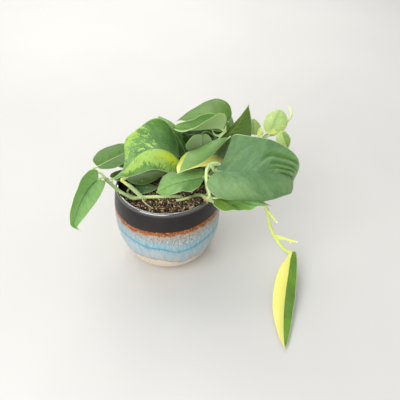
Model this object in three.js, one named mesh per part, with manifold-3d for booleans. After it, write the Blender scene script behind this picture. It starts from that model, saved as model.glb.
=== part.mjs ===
// Potted jade satin scindapsus: a glazed bowl pot filled with soil, and the trailing plant in it.
// Millimetres, +Z up. The origin is the middle of the pot's flat foot, and the front faces -Y.

import * as THREE from "three";
import { mergeVertices } from "three/addons/utils/BufferGeometryUtils.js";
import Module from "manifold-3d";

const wasm = await Module();
wasm.setup();

// Pot
const POT_HEIGHT = 111.6;
const FOOT_RADIUS = 37;
const BELLY_RADIUS = 68.4;
const RIM_RADIUS = 64.3;
const WALL = 4.2;
const FLOOR = 8;
const POT_SIDES = 40;

// Soil
const SOIL_LEVEL = 98;
const SOIL_RELIEF = 1.3;
const SOIL_HOLLOW = { x: -55, y: 4, radius: 13, depth: 14 };

// Plant
const BLADE = 0.8;
const VINE = 2.2;
const STALK = 1.9;
const PETIOLE = 1.4;
const ROOT = 0.9;

// Room left between pieces, and the length of one straight stretch of a stem
const GAP = 0.32;
const LEAF_ROOM = 0.5;
const TUBE_STEP = 7;

const TURN = Math.PI * 2;
const radians = THREE.MathUtils.degToRad;

const LOOKS = {
  glaze: { color: 0x3d4a55, roughness: 0.35, metalness: 0 },
  soil: { color: 0x5a4632, roughness: 0.95, metalness: 0 },
  leaf: { color: 0x4f7d45, roughness: 0.55, metalness: 0 },
  pale_leaf: { color: 0xa9bf62, roughness: 0.55, metalness: 0 },
  stem: { color: 0x9dbb63, roughness: 0.5, metalness: 0 },
  root: { color: 0xc9b48a, roughness: 0.8, metalness: 0 },
};

const part = new THREE.Group();

function addMesh(name, geometry, look) {
  geometry.computeVertexNormals();
  const mesh = new THREE.Mesh(geometry, new THREE.MeshStandardMaterial(LOOKS[look]));
  mesh.name = name;
  part.add(mesh);
}

// Solids for joining and cutting

function toSolid(geometry) {
  const bare = geometry.clone();
  bare.deleteAttribute("normal");
  bare.deleteAttribute("uv");
  const merged = mergeVertices(bare, 1e-4);
  return new wasm.Manifold(
    new wasm.Mesh({
      numProp: 3,
      vertProperties: new Float32Array(merged.attributes.position.array),
      triVerts: new Uint32Array(merged.index.array),
    }),
  );
}

function toGeometry(solid) {
  const mesh = solid.getMesh();
  const geometry = new THREE.BufferGeometry();
  geometry.setAttribute("position", new THREE.BufferAttribute(mesh.vertProperties, 3));
  geometry.setIndex(new THREE.BufferAttribute(mesh.triVerts, 1));
  return geometry;
}

const join = (solids) => solids.reduce((whole, next) => whole.add(next));
const largest = (solid) => solid.decompose().sort((a, b) => b.volume() - a.volume())[0];
const cut = (solid, tools) => tools.reduce((rest, tool) => rest.subtract(tool), solid);

// A body turned round the Z axis, from a profile of [radius, height] points.
function turned(profile, sides) {
  const points = profile.map(([radius, height]) => new THREE.Vector2(radius, height));
  return new THREE.LatheGeometry(points, sides).rotateX(Math.PI / 2);
}

function curved(points, steps) {
  const curve = new THREE.SplineCurve(points.map((point) => new THREE.Vector2(...point)));
  return curve.getPoints(steps).map(({ x, y }) => [x, y]);
}

// Pot: a round-bellied bowl on a narrow flat foot, with a rounded lip

const LIP = WALL / 2;
const POT_OUTSIDE = [
  [FOOT_RADIUS + 2.6, 1.7],
  [48.5, 8.5],
  [55.5, 16],
  [66, 44],
  [BELLY_RADIUS, 74],
  [67, 96],
  [RIM_RADIUS, POT_HEIGHT - LIP],
];
const POT_INSIDE = [
  [RIM_RADIUS - WALL, POT_HEIGHT - LIP],
  [67 - WALL, 96],
  [BELLY_RADIUS - WALL, 74],
  [66 - WALL, 46],
  [50.5, 20],
  [42, 12],
  [32, FLOOR],
];

function lipArc(steps) {
  const middle = RIM_RADIUS - LIP;
  return Array.from({ length: steps - 1 }, (_, i) => {
    const angle = (Math.PI * (i + 1)) / steps;
    return [middle + LIP * Math.cos(angle), POT_HEIGHT - LIP + LIP * Math.sin(angle)];
  });
}

function pot() {
  const profile = [
    [0, 0],
    [FOOT_RADIUS, 0],
    ...curved(POT_OUTSIDE, 9),
    ...lipArc(4),
    ...curved(POT_INSIDE, 6),
    [0, FLOOR],
  ];
  return turned(profile, POT_SIDES);
}

// Soil: fills the pot to just under the lip, uneven on top, with a hollow at the left wall

function soilHeight(x, y) {
  const lumps =
    Math.sin(0.21 * x + 1.1) * Math.cos(0.24 * y - 0.4) +
    0.7 * Math.sin(0.47 * x - 0.31 * y + 2.0) +
    0.5 * Math.cos(0.83 * y + 0.61 * x);
  const away = Math.hypot(x - SOIL_HOLLOW.x, y - SOIL_HOLLOW.y) / SOIL_HOLLOW.radius;
  return SOIL_LEVEL + SOIL_RELIEF * lumps - SOIL_HOLLOW.depth * Math.exp(-away * away);
}

function soil() {
  const rings = 9;
  const rim = RIM_RADIUS - WALL - GAP;
  const top = Array.from({ length: rings + 1 }, (_, i) => [rim * (1 - i / rings), SOIL_LEVEL]);
  const wall = curved(POT_INSIDE, 6)
    .filter(([, height]) => height < SOIL_LEVEL - 20)
    .map(([radius, height]) => [radius - 1, height + GAP])
    .reverse();
  const body = turned([[0, FLOOR + GAP], ...wall, ...top], 32);
  const place = body.attributes.position;
  for (let i = 0; i < place.count; i += 1) {
    if (Math.abs(place.getZ(i) - SOIL_LEVEL) < 0.01) {
      place.setZ(i, soilHeight(place.getX(i), place.getY(i)));
    }
  }
  return body;
}

// Leaves
// at: where the blade meets its stalk. turn: heading from +X. rise: slope up. tilt: roll.
// half: widths left and right of the midrib. arch: bend down, in degrees a length, at the
// base, the middle and the tip. sweep: bend sideways. fold and curl: how each half rises from
// the midrib and rolls over. lobe: how far each half reaches back past the stalk, as a share.
// blunt, point and drip: the roundness of the base and tip, and the narrow drip tip's share.
// shape: widening of each half at the base, quarter, middle, three quarters and tip.

const SIMPLE_LEAF = {
  tilt: 0,
  arch: [50, 80, 60],
  sweep: 0,
  twist: 0,
  fold: [14, 14],
  curl: [30, 30],
  lobe: [0.08, 0.08],
  blunt: 0.5,
  point: 1.05,
  drip: 0.04,
  shape: [
    [1, 1, 1, 1, 1],
    [1, 1, 1, 1, 1],
  ],
};

const LEAVES = {
  leaf_left_low: {
    at: [-86, 2, 114], turn: 240, rise: 11, tilt: -28, length: 76, half: [17, 23],
    arch: [33, 57, 3], sweep: 49, twist: -21, fold: [16, 30], curl: [13, -42],
    lobe: [0.11, 0.1], blunt: 0.49, point: 0.76, drip: 0.02,
  },
  leaf_left_high: {
    at: [-90, 21, 120], turn: 34, rise: 7, length: 66, half: [25, 22],
    arch: [-19, 23, 51], twist: 6, fold: [22, 21], curl: [38, 26],
    lobe: [0.06, 0.06], blunt: 0.52, point: 0.96, drip: 0.03,
  },
  leaf_variegated: {
    at: [16, 19, 127], turn: 253, rise: 59, tilt: -61, length: 132, half: [32, 37],
    arch: [28, 311, -311], sweep: -40, twist: 46, fold: [-7, -4], curl: [47, -40],
    lobe: [0.04, 0.2], blunt: 0.6, point: 0.74, drip: 0.16,
    shape: [[0.74, 0.92, 0.91, 1.01, 1.03], [1.04, 1.15, 1.05, 1.43, 0.7]],
  },
  leaf_behind: {
    at: [25, 48.7, 113.5], turn: 158, rise: 73, length: 74, half: [15, 13],
    arch: [31, 95, 71], sweep: -17, twist: -33, fold: [12, 4], curl: [30, 33],
    lobe: [0.08, 0.07], blunt: 0.47, point: 0.96, drip: 0,
  },
  leaf_yellow_tip: {
    at: [80, 44, 149], turn: 230, rise: -7, tilt: 41, length: 98, half: [26, 33],
    arch: [47, -63, 19], sweep: 3, twist: 1, fold: [5, 30], curl: [59, 0],
    lobe: [0.08, -0.02], blunt: 0.68, point: 0.76, drip: 0.03,
    shape: [[1, 0.98, 1.05, 0.73, 0.57], [1.02, 0.88, 1.11, 1.09, 0.98]],
  },
  leaf_top_back: {
    at: [82, 78, 150], turn: 177, rise: 39, tilt: -21, length: 87, half: [26, 34],
    arch: [143, 79, 23], sweep: -5, twist: 19, fold: [12, 5], curl: [30, 9],
    lobe: [0.04, 0], point: 1.2, drip: 0.05,
  },
  leaf_folded: {
    at: [72, 57, 153], turn: 205, rise: 33, tilt: 33, length: 67, half: [34, 25],
    arch: [122, -15, 49], sweep: -49, twist: -83, fold: [66, 52], curl: [19, -74],
    lobe: [0.06, 0.08], blunt: 0.61, point: 0.7, drip: 0,
  },
  leaf_pointed: {
    at: [70, 59, 135], turn: 19, rise: 30, tilt: 15, length: 63, half: [8, 29],
    arch: [-12, -42, -3], sweep: 26, fold: [8, 10], curl: [39, 47],
    blunt: 0.53, point: 1.2, drip: 0.06,
  },
  leaf_satin: {
    at: [61, -22, 145], turn: -5, rise: 2, tilt: 15, length: 134, half: [43, 34],
    arch: [-50, 121, 378], sweep: 2, twist: 31, fold: [17, 15], curl: [1, 78],
    lobe: [-0.12, 0.09], blunt: 0.32, point: 0.75, drip: 0.05,
    shape: [[1.44, 1.03, 1, 1, 1], [1.29, 1.18, 1.26, 1.14, 1]],
  },
  leaf_under_satin: {
    at: [63, -38, 116], turn: -7, rise: 5, length: 69, half: [22, 23],
    arch: [16, 27, 34], sweep: 5, twist: -8, fold: [2, 3], curl: [15, 13],
    lobe: [0.08, 0.1], blunt: 0.46, point: 1.13, drip: 0.06,
  },
  leaf_front: {
    at: [48, -3, 122], turn: 197, rise: -14, tilt: -10, length: 68, half: [22, 33],
    arch: [-100, 93, 72], sweep: -12, twist: -13, fold: [12, 12], curl: [-11, 78],
    lobe: [-0.07, 0.13], blunt: 0.59, point: 0.86, drip: 0.05,
    shape: [[0.98, 1.01, 0.9, 0.98, 1.03], [1.04, 1.04, 1.11, 1.1, 0.95]],
  },
  leaf_shaded: {
    at: [-52, 0, 117], turn: 30, rise: 1, tilt: 4, length: 62, half: [18, 19],
    arch: [14, 27, 11], sweep: -3, fold: [10, 8], curl: [30, 32],
    lobe: [0.2, 0.01], point: 0.98, drip: 0.02,
  },
  leaf_inner_low: {
    at: [-44, -3, 103], turn: 5, rise: 2, length: 36, half: [11, 11],
    arch: [10, 10, 10], fold: [8, 8],
  },
  leaf_inner_left: {
    at: [-68, 3, 114.8], turn: 42, rise: -3, length: 34, half: [12, 12],
    arch: [-4, 0, 10], fold: [-4, 2], curl: [2, 8],
  },
  leaf_inner_right: {
    at: [80, 66, 129.5], turn: 172, rise: 6, tilt: -55, length: 80, half: [16.5, 16],
    arch: [0, 20, 30], fold: [8, 8],
  },
  leaf_inner_back: {
    at: [45, 44, 154], turn: 100, rise: -80, length: 42, half: [21.5, 14],
    arch: [-10, -20, -10], fold: [10, 10], blunt: 0.62, point: 0.8,
  },
  leaf_trailing: {
    at: [163, -34, 19.2], turn: 259, rise: -9, tilt: -20, length: 147, half: [15, 16],
    arch: [43, -44, -38], sweep: 1, twist: -6, fold: [41, 6], curl: [-31, 29],
    lobe: [0.1, -0.07], blunt: 0.61, point: 0.82, drip: 0.01,
  },
  leaf_back: {
    at: [-6, 52, 114], turn: 96, rise: 16, length: 82, half: [30, 30], arch: [60, 90, 60],
  },
  leaf_back_left: {
    at: [-31, 41, 113], turn: 158, rise: 10, length: 76, half: [25, 24], arch: [20, 60, 70],
  },
  leaf_back_right: {
    at: [58, 52, 111], turn: 56, rise: 15, length: 84, half: [26, 28], arch: [50, 90, 60],
  },
  leaf_young_oval: {
    at: [134, 61, 144.5], turn: 62, rise: 31, tilt: 12, length: 43, half: [14.5, 16.5],
    arch: [10, 30, 30], fold: [10, 10], blunt: 0.55, point: 0.7,
  },
  leaf_young_low: {
    at: [148, 56.5, 148.5], turn: -76, rise: -12, tilt: 10, length: 26, half: [9, 9.5],
    arch: [30, 40, 30], fold: [8, 8], blunt: 0.5, point: 0.8,
  },
  leaf_young_left: {
    at: [115, 62, 142], turn: 90, rise: 25, tilt: 8, length: 30, half: [9, 9],
    arch: [10, 30, 30], fold: [10, 10], blunt: 0.5, point: 0.85,
  },
  leaf_young_mid: {
    at: [121, 56.5, 142.5], turn: 86, rise: 25, tilt: -10, length: 18, half: [4, 4.5],
    arch: [10, 30, 30], fold: [12, 12],
  },
};

const LEFT = 0;
const RIGHT = 1;

// Heading, face normal and place at even steps along the midrib.
function midribFrames(leaf, steps = 32) {
  const turn = radians(leaf.turn);
  const rise = radians(leaf.rise);
  const ahead = new THREE.Vector3(
    Math.cos(turn) * Math.cos(rise),
    Math.sin(turn) * Math.cos(rise),
    Math.sin(rise),
  );
  const face = new THREE.Vector3(
    -Math.cos(turn) * Math.sin(rise),
    -Math.sin(turn) * Math.sin(rise),
    Math.cos(rise),
  ).applyAxisAngle(ahead, radians(leaf.tilt));
  const place = new THREE.Vector3(...leaf.at);
  const frames = [{ place: place.clone(), ahead: ahead.clone(), face: face.clone() }];
  const [base, middle, tip] = leaf.arch;
  const step = leaf.length / steps;
  for (let i = 0; i < steps; i += 1) {
    const share = (i + 0.5) / steps;
    const bend = share < 0.5
      ? THREE.MathUtils.lerp(base, middle, 2 * share)
      : THREE.MathUtils.lerp(middle, tip, 2 * share - 1);
    const side = ahead.clone().cross(face);
    const before = ahead.clone();
    ahead.applyAxisAngle(side, -radians(bend) / steps);
    face.applyAxisAngle(side, -radians(bend) / steps);
    ahead.applyAxisAngle(face, radians(leaf.sweep) / steps);
    face.applyAxisAngle(ahead, radians(leaf.twist) / steps);
    place.addScaledVector(before.add(ahead), step / 2);
    frames.push({ place: place.clone(), ahead: ahead.clone(), face: face.clone() });
  }
  return frames;
}

function frameAt(frames, share) {
  const spot = THREE.MathUtils.clamp(share, 0, 1) * (frames.length - 1);
  const low = Math.min(Math.floor(spot), frames.length - 2);
  const mix = (key) => frames[low][key].clone().lerp(frames[low + 1][key], spot - low);
  const ahead = mix("ahead").normalize();
  const face = mix("face");
  face.addScaledVector(ahead, -face.dot(ahead)).normalize();
  return { place: mix("place"), ahead, face };
}

// A smooth factor through five values, evenly spaced from base to tip.
function smoothThrough(values, share) {
  const last = values.length - 1;
  const spot = THREE.MathUtils.clamp(share, 0, 1) * last;
  const i = Math.min(Math.floor(spot), last - 1);
  const f = spot - i;
  const before = i > 0 ? values[i - 1] : 2 * values[0] - values[1];
  const after = i < last - 1 ? values[i + 2] : 2 * values[last] - values[last - 1];
  const [a, b] = [values[i], values[i + 1]];
  return 0.5 * (
    2 * a +
    (b - before) * f +
    (2 * before - 5 * a + 4 * b - after) * f * f +
    (3 * a - before - 3 * b + after) * f * f * f
  );
}

// The flat outline of one half at a share of the length: how far along and how far out.
function outlineAt(leaf, side, share) {
  const peak = leaf.blunt / (leaf.blunt + leaf.point);
  const bell = (x) => {
    const u = THREE.MathUtils.clamp(x, 0, 1);
    return (u / peak) ** leaf.blunt * ((1 - u) / (1 - peak)) ** leaf.point;
  };
  const body = 0.7 * bell(share / (1 - leaf.drip)) + 0.3 * bell(share);
  const out = body * smoothThrough(leaf.shape[side], share);
  const reach = THREE.MathUtils.smoothstep(out, 0, 0.6) * (1 - share) ** 6;
  return { along: share - leaf.lobe[side] * reach, out };
}

// A point of the blade: along and across in shares, with its two surface directions.
function bladePoint(leaf, frames, along, across) {
  const side = across < 0 ? LEFT : RIGHT;
  const frame = frameAt(frames, along);
  const sideways = frame.ahead.clone().cross(frame.face);
  const width = Math.abs(across) * leaf.half[side];
  const fold = radians(leaf.fold[side]);
  const roll = (radians(leaf.curl[side]) || 1e-6) / leaf.half[side];
  const slope = fold - roll * width;
  const sideStep = (Math.sin(fold) - Math.sin(slope)) / roll;
  const upStep = (Math.cos(slope) - Math.cos(fold)) / roll;
  const overrun = (along - THREE.MathUtils.clamp(along, 0, 1)) * leaf.length;
  return frame.place
    .addScaledVector(frame.ahead, overrun)
    .addScaledVector(sideways, sideStep * Math.sign(across))
    .addScaledVector(frame.face, upStep);
}

// Rows of points from base to tip, each from the left margin to the right one.
function bladeGrid(leaf, rows, columns) {
  const frames = midribFrames(leaf);
  const grid = [];
  for (let i = 0; i <= rows; i += 1) {
    const share = (i / rows) ** 1.5;
    const edges = [outlineAt(leaf, LEFT, share), outlineAt(leaf, RIGHT, share)];
    const row = [];
    for (let j = -columns; j <= columns; j += 1) {
      const edge = edges[j < 0 ? LEFT : RIGHT];
      const away = j / columns;
      const along = share + (edge.along - share) * Math.abs(away);
      row.push(bladePoint(leaf, frames, along, edge.out * away));
    }
    grid.push(row);
  }
  return grid;
}

function gridNormal(grid, i, j) {
  const rows = grid.length - 1;
  const last = grid[0].length - 1;
  const row = THREE.MathUtils.clamp(i, 1, rows - 1);
  const down = grid[Math.max(row - 1, 0)][j].clone().sub(grid[Math.min(row + 1, rows)][j]);
  const across = grid[row][Math.max(j - 1, 0)].clone().sub(grid[row][Math.min(j + 1, last)]);
  return across.cross(down).normalize();
}

// A thin closed blade: an upper and a lower face split into triangles alike, and an edge.
function blade(leaf, thickness, rows, columns) {
  const grid = bladeGrid(leaf, rows, columns);
  const wide = grid[0].length;
  const faces = [0.5, -0.5].map((half) =>
    grid.map((row, i) =>
      row.map((point, j) =>
        point.clone().addScaledVector(gridNormal(grid, i, j), half * thickness),
      ),
    ),
  );
  for (const face of faces) {
    for (const end of [face[0], face[rows]]) {
      end.fill(end[columns]);
    }
  }
  const corners = [];
  const triangle = (a, b, c) => {
    if (a !== b && b !== c && c !== a) corners.push(a, b, c);
  };
  const [upper, lower] = faces;
  for (let i = 0; i < rows; i += 1) {
    for (let j = 0; j < wide - 1; j += 1) {
      const spots = [[i, j], [i + 1, j], [i + 1, j + 1], [i, j + 1]];
      const [a, b, c, d] = spots.map(([row, column]) => upper[row][column]);
      const [e, f, g, h] = spots.map(([row, column]) => lower[row][column]);
      if (j < columns) {
        triangle(a, c, b);
        triangle(a, d, c);
        triangle(e, f, g);
        triangle(e, g, h);
      } else {
        triangle(a, d, b);
        triangle(b, d, c);
        triangle(e, f, h);
        triangle(f, g, h);
      }
    }
    for (const [j, turned] of [[0, true], [wide - 1, false]]) {
      const [a, b, c, d] = [upper[i][j], lower[i][j], lower[i + 1][j], upper[i + 1][j]];
      if (turned) {
        triangle(a, d, c);
        triangle(a, c, b);
      } else {
        triangle(a, b, c);
        triangle(a, c, d);
      }
    }
  }
  return new THREE.BufferGeometry().setFromPoints(corners);
}

const leafOf = (name) => ({ ...SIMPLE_LEAF, ...LEAVES[name] });

// Rows and columns follow the leaf's size, so that small leaves stay light.
function bladeOf(name, spare = 0) {
  const leaf = leafOf(name);
  const thickness = BLADE + 2 * spare;
  if (spare > 0) {
    const { place, ahead } = midribFrames(leaf)[0];
    leaf.at = place.addScaledVector(ahead, -spare).toArray();
    leaf.length += 2 * spare;
    leaf.half = leaf.half.map((width) => width + spare);
  }
  const rows = leaf.length > 100 ? 14 : leaf.length > 50 ? 10 : 7;
  const columns = leaf.length > 100 ? 4 : leaf.length > 50 ? 3 : 2;
  return blade(leaf, thickness, rows, columns);
}

// Stems

// A round stem through its points. Spare room makes it thicker and longer, for cutting holes.
function tube(points, radius, spare = 0) {
  const spots = points.map((point) => new THREE.Vector3(...point));
  const steps = Math.max(2, Math.round(new THREE.CatmullRomCurve3(spots).getLength() / TUBE_STEP));
  for (const [end, next] of [[spots[0], spots[1]], [spots.at(-1), spots.at(-2)]]) {
    end.addScaledVector(end.clone().sub(next).normalize(), spare);
  }
  const path = new THREE.CatmullRomCurve3(spots);
  const section = new THREE.Shape().absarc(0, 0, radius + spare, 0, TURN);
  const curveSegments = radius > PETIOLE ? 4 : 3;
  const options = { steps, curveSegments, extrudePath: path, bevelEnabled: false };
  return toSolid(new THREE.ExtrudeGeometry(section, options));
}

function knot([x, y, z], radius) {
  return toSolid(new THREE.SphereGeometry(radius, 8, 6)).translate([x, y, z]);
}

// A petiole's last points: straight on to the base of its leaf, and just short of it.
function toLeaf(name, run = 7) {
  const leaf = leafOf(name);
  const { place, ahead } = midribFrames(leaf)[0];
  const back = (distance) => place.clone().addScaledVector(ahead, -distance).toArray();
  return [back(run), back(GAP + BLADE / 2)];
}

// Each shoot is one grown piece: its stems, the petioles on them and the swollen nodes.
const SHOOTS = {
  vine_left: {
    stems: [
      [VINE, [22, -12, 91], [19, -14, 98], [12, -16, 101], [-8, -17, 101], [-31, -19, 101.5],
        [-41, -24, 104], [-51, -25, 111.5], [-60, -21, 116], [-69, -11, 117], [-76, -1, 116]],
      [PETIOLE, [-76, -1, 116], [-82, 8, 117], ...toLeaf("leaf_left_high")],
      [PETIOLE, [-76, -1, 116], ...toLeaf("leaf_left_low", 5)],
      [STALK, [-31, -19, 101.5], [-38, -13, 105], [-46, -9, 111], ...toLeaf("leaf_shaded", 5)],
      [PETIOLE, [-31, -19, 101.5], [-41, -17, 101], [-50, -8, 101], ...toLeaf("leaf_inner_low", 4)],
      [PETIOLE, [-69, -11, 117], [-68, -5, 116.5], ...toLeaf("leaf_inner_left", 2)],
      [ROOT, [-27, -18, 101], [-27, -21, 99.5], [-26, -25, 98]],
      [ROOT, [-31, -20, 101], [-28, -26, 99.5], [-23, -32, 99], [-15, -40, 99]],
    ],
    knots: [[3, -31, -19, 101.5], [2.8, -76, -1, 116]],
  },
  shoot_middle: {
    stems: [
      [STALK, [8, 24, 88], [10, 25, 104], [14, 25, 118], ...toLeaf("leaf_variegated", 5)],
      [PETIOLE, [9, 24, 97], [20, 38, 101], ...toLeaf("leaf_behind")],
      [PETIOLE, [8, 24, 93], [-2, 34, 104], ...toLeaf("leaf_back")],
      [PETIOLE, [8, 24, 90], [-10, 28, 102], ...toLeaf("leaf_back_left")],
    ],
    knots: [[3.4, 9, 24, 97]],
  },
  shoot_right: {
    stems: [
      [VINE, [38, 26, 88], [44, 30, 106], [54, 36, 122], [62, 44, 134]],
      [PETIOLE, [44, 30, 106], [58, 30, 122], [74, 36, 138], [81, 43, 145],
        ...toLeaf("leaf_yellow_tip", 2)],
      [PETIOLE, [54, 36, 122], [62, 54, 126], [78, 57, 127], [89, 66, 131], [90, 76, 141],
        ...toLeaf("leaf_top_back", 4)],
      [PETIOLE, [62, 44, 134], [68, 52, 144], ...toLeaf("leaf_folded", 5)],
      [PETIOLE, [62, 44, 134], [61, 54, 131], ...toLeaf("leaf_pointed", 4)],
      [PETIOLE, [62, 44, 134], [64, 55, 139], [60, 58, 144], [53, 56, 150],
        ...toLeaf("leaf_inner_back", 2)],
      [PETIOLE, [44, 30, 106], [46, 37, 115.5], ...toLeaf("leaf_back_right", 4)],
      [PETIOLE, [78, 57, 127], [84, 62, 128.5], ...toLeaf("leaf_inner_right", 2)],
    ],
    knots: [[3, 44, 30, 106], [3, 62, 44, 134]],
  },
  vine_right: {
    stems: [
      [VINE, [30, -9, 91], [35, -13, 99], [42, -22, 108], [50, -35, 115], [57, -41, 114],
        [65, -44, 111], [78, -42, 109], [95, -38, 106], [112, -34, 103.5], [122, -31, 98],
        [128, -28, 84], [131, -24, 65], [136, -22, 49], [140, -24, 41], [150, -31, 28],
        [158, -33.2, 21], [161.5, -33.6, 19.5]],
      [STALK, [51, -37, 115], [54, -39, 121], [52, -35, 131], [50, -28, 141], [51, -21, 148],
        [54, -19, 150.5], [57.5, -20, 149], ...toLeaf("leaf_satin", 1.5)],
      [PETIOLE, [51, -36, 115], [56, -37, 115.5], ...toLeaf("leaf_under_satin", 3)],
      [PETIOLE, [48, -31, 113], [55, -20, 115], [58, -8, 119], ...toLeaf("leaf_front", 5)],
      [STALK, [13, -24, 101], [19, -22, 100.5], [27, -18, 100], [33, -11, 96]],
      [ROOT, [126, -29, 90], [139, -43, 80]],
      [ROOT, [140, -24, 41], [154, -30, 41], [161, -34, 41], [169, -37, 41]],
      [ROOT, [143, -26, 38], [158, -31, 39], [161, -35, 37]],
    ],
    knots: [[3.2, 51, -36, 115], [2.8, 140, -24, 41]],
  },
  vine_back: {
    stems: [
      [VINE, [50, 6, 90], [54, 12, 108], [60, 22, 116.5], [74, 30, 114], [94, 42, 119],
        [112, 54, 130], [131, 66, 138]],
      [STALK, [131, 66, 138], [143, 66, 141], [156, 79, 148]],
      [PETIOLE, [156, 79, 148], [164, 88, 153], [165, 98, 156], [163, 109, 157]],
      [PETIOLE, [126, 63, 136], ...toLeaf("leaf_young_oval", 3)],
      [PETIOLE, [143, 66, 141], [152, 67, 142.5], [154, 62.5, 146], ...toLeaf("leaf_young_low", 1.5)],
      [PETIOLE, [105, 49, 126], ...toLeaf("leaf_young_left", 4)],
      [PETIOLE, [112, 54, 130], ...toLeaf("leaf_young_mid", 4)],
    ],
    knots: [[2.5, 131, 66, 138], [2.2, 156, 79, 148]],
  },
};

const leafNames = Object.keys(LEAVES);
const shootNames = Object.keys(SHOOTS);

addMesh("pot", pot(), "glaze");
for (const name of leafNames) {
  addMesh(name, bladeOf(name), name.includes("young") ? "pale_leaf" : "leaf");
}
const leafRooms = leafNames.map((name) => toSolid(bladeOf(name, LEAF_ROOM)));
const holes = [];
for (const name of shootNames) {
  const { stems, knots } = SHOOTS[name];
  const grown = (extra) =>
    join([
      ...stems.map(([radius, ...points]) => tube(points, radius, extra)),
      ...knots.map(([radius, ...middle]) => knot(middle, radius + extra)),
    ]);
  addMesh(name, toGeometry(largest(cut(grown(0), leafRooms))), "stem");
  holes.push(grown(GAP));
}
addMesh("soil", toGeometry(cut(toSolid(soil()), holes)), "soil");

export default part;
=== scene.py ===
"""The looks of the potted jade satin scindapsus: glazed pot, fibrous soil, stems and each leaf."""
import math

import bpy
import numpy as np
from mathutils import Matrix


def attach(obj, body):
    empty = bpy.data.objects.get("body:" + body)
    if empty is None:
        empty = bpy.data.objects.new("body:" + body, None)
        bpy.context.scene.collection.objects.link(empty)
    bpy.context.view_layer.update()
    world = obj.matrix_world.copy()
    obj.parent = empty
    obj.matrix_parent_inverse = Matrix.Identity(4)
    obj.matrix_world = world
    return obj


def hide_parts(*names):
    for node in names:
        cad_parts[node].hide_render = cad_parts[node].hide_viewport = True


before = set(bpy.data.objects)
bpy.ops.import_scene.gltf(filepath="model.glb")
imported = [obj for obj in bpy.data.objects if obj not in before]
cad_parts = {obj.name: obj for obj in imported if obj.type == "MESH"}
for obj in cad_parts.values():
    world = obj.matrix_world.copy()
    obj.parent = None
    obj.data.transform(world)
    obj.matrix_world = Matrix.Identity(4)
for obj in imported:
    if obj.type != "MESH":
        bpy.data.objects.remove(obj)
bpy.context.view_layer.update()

MM = 0.001
TURN = 2 * math.pi
BODY = "root"

# The pot, in millimetres
POT_HEIGHT = 111.6
FOOT_RADIUS = 37
BELLY_RADIUS = 68.4
RIM_RADIUS = 64.3
WALL = 4.2
FLOOR = 8
LIP = WALL / 2
LIP_STEPS = 13
POT_SIDES = 192
POT_OUTSIDE = (
    (FOOT_RADIUS + 2.6, 1.7), (48.5, 8.5), (55.5, 16), (66, 44), (BELLY_RADIUS, 74), (67, 96),
    (RIM_RADIUS, POT_HEIGHT - LIP),
)
OUTSIDE_STEPS = 13
POT_INSIDE = (
    (RIM_RADIUS - WALL, POT_HEIGHT - LIP), (62.8, 96), (64.2, 74), (61.8, 46), (50.5, 20), (42, 12),
    (32, FLOOR),
)
INSIDE_STEPS = 9
POT_BASE = ((0, 1.6), (27, 1.6), (29.5, 1.2), (31, 0.2), (31.8, 0), (36.4, 0), (37.4, 0.3), (38.6, 1))
POT_BOTTOM = ((20, FLOOR), (0, FLOOR))

# Heights of the glaze's edges round the pot, by angle in degrees from the right side
BLACK_EDGE = (
    (-148, 85.3), (-130, 84.1), (-112, 85), (-95, 86.2), (-78, 86.3), (-63, 87), (-40, 87.6),
    (-10, 86), (30, 84.5), (75, 86.5), (120, 84), (165, 86),
)
BLUE_LINE = (
    (-141, 63), (-125, 62), (-113, 58), (-102, 58.5), (-91, 58.5), (-81, 51.4), (-70, 51.6),
    (-58, 54.7), (-44, 58.3), (-10, 60), (30, 55), (65, 59), (100, 52), (140, 58), (180, 61),
)
CLAY_EDGE = (
    (-133, 30.5), (-110, 34.9), (-92, 34.3), (-80, 26.4), (-67, 24.6), (-53, 26.2), (-20, 31),
    (25, 26), (70, 33), (110, 27), (150, 31), (190, 28),
)
EDGE_SMOOTHING = 5
EDGE_REACH = 12
EDGE_STEP = 1.5

# Small relief of the pot, in millimetres: how far the glaze stands off the clay, over what
# height it rises, the bead along its lower edge, and the marks that throwing left
GLAZE_DEPTH = 0.45
GLAZE_RISE = 0.35
BEAD_DEPTH = 0.35
BEAD_HALF = 0.9
THROWN = dict(depth=0.036, pitch=1.15, lean=0.6)
OUT_OF_ROUND = dict(depth=0.132, sides=3, climb=17)
PLAIN_FOOT = 3
PLAIN_LIP = 1.5
LIP_GLOSS = 5
FAR_OFF = 100

# The wavy edge of the bare clay: height, waves round the pot, and how they drift
CLAY_RIPPLES = ((1.1, 15, 1.6, 4), (0.66, 34, 2, 7))

# The soil, in millimetres
SOIL_LEVEL = 98
SOIL_RELIEF = 1.3
SOIL_HOLLOW = dict(x=-55, y=4, radius=13, depth=14)
SOIL_REACH = 62.3
SOIL_BOTTOM = 70
SOIL_WALL = ((1.006, 88), (1.01, 78), (0.99, SOIL_BOTTOM))
SOIL_RINGS = 64
SOIL_SIDES = 160
SOIL_CLEAR_RINGS = 3
SOIL_CRUMBS = (
    dict(height=0.55, count=14, shortest=5, longest=11, seed=3),
    dict(height=0.4, count=18, shortest=2.4, longest=5, seed=4),
)

# Bits strewn over the soil, as shares of each bit's length
CHIP_HALVES = (0.5, 0.24, 0.12)
CHIP_JOLT = 0.3
CHIP_SEED = 5
FIBRE_BEND = ((-0.5, 0, -0.03), (0.05, 0.22, 0.16), (0.5, -0.05, 0.02))
FIBRE_RADIUS = 0.014
FIBRE_STEPS = 7
FIBRE_SIDES = 4
BIT_TILT = 0.5
LOT_SEED = 11

# How many bits lie on a square metre, and how long they are, in metres
CHIPS = {"Density": 120000.0, "Shortest": 1.2 * MM, "Longest": 4.5 * MM, "Seed": 7}
FIBRES = {"Density": 60000.0, "Shortest": 3 * MM, "Longest": 10 * MM, "Seed": 21}

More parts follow.
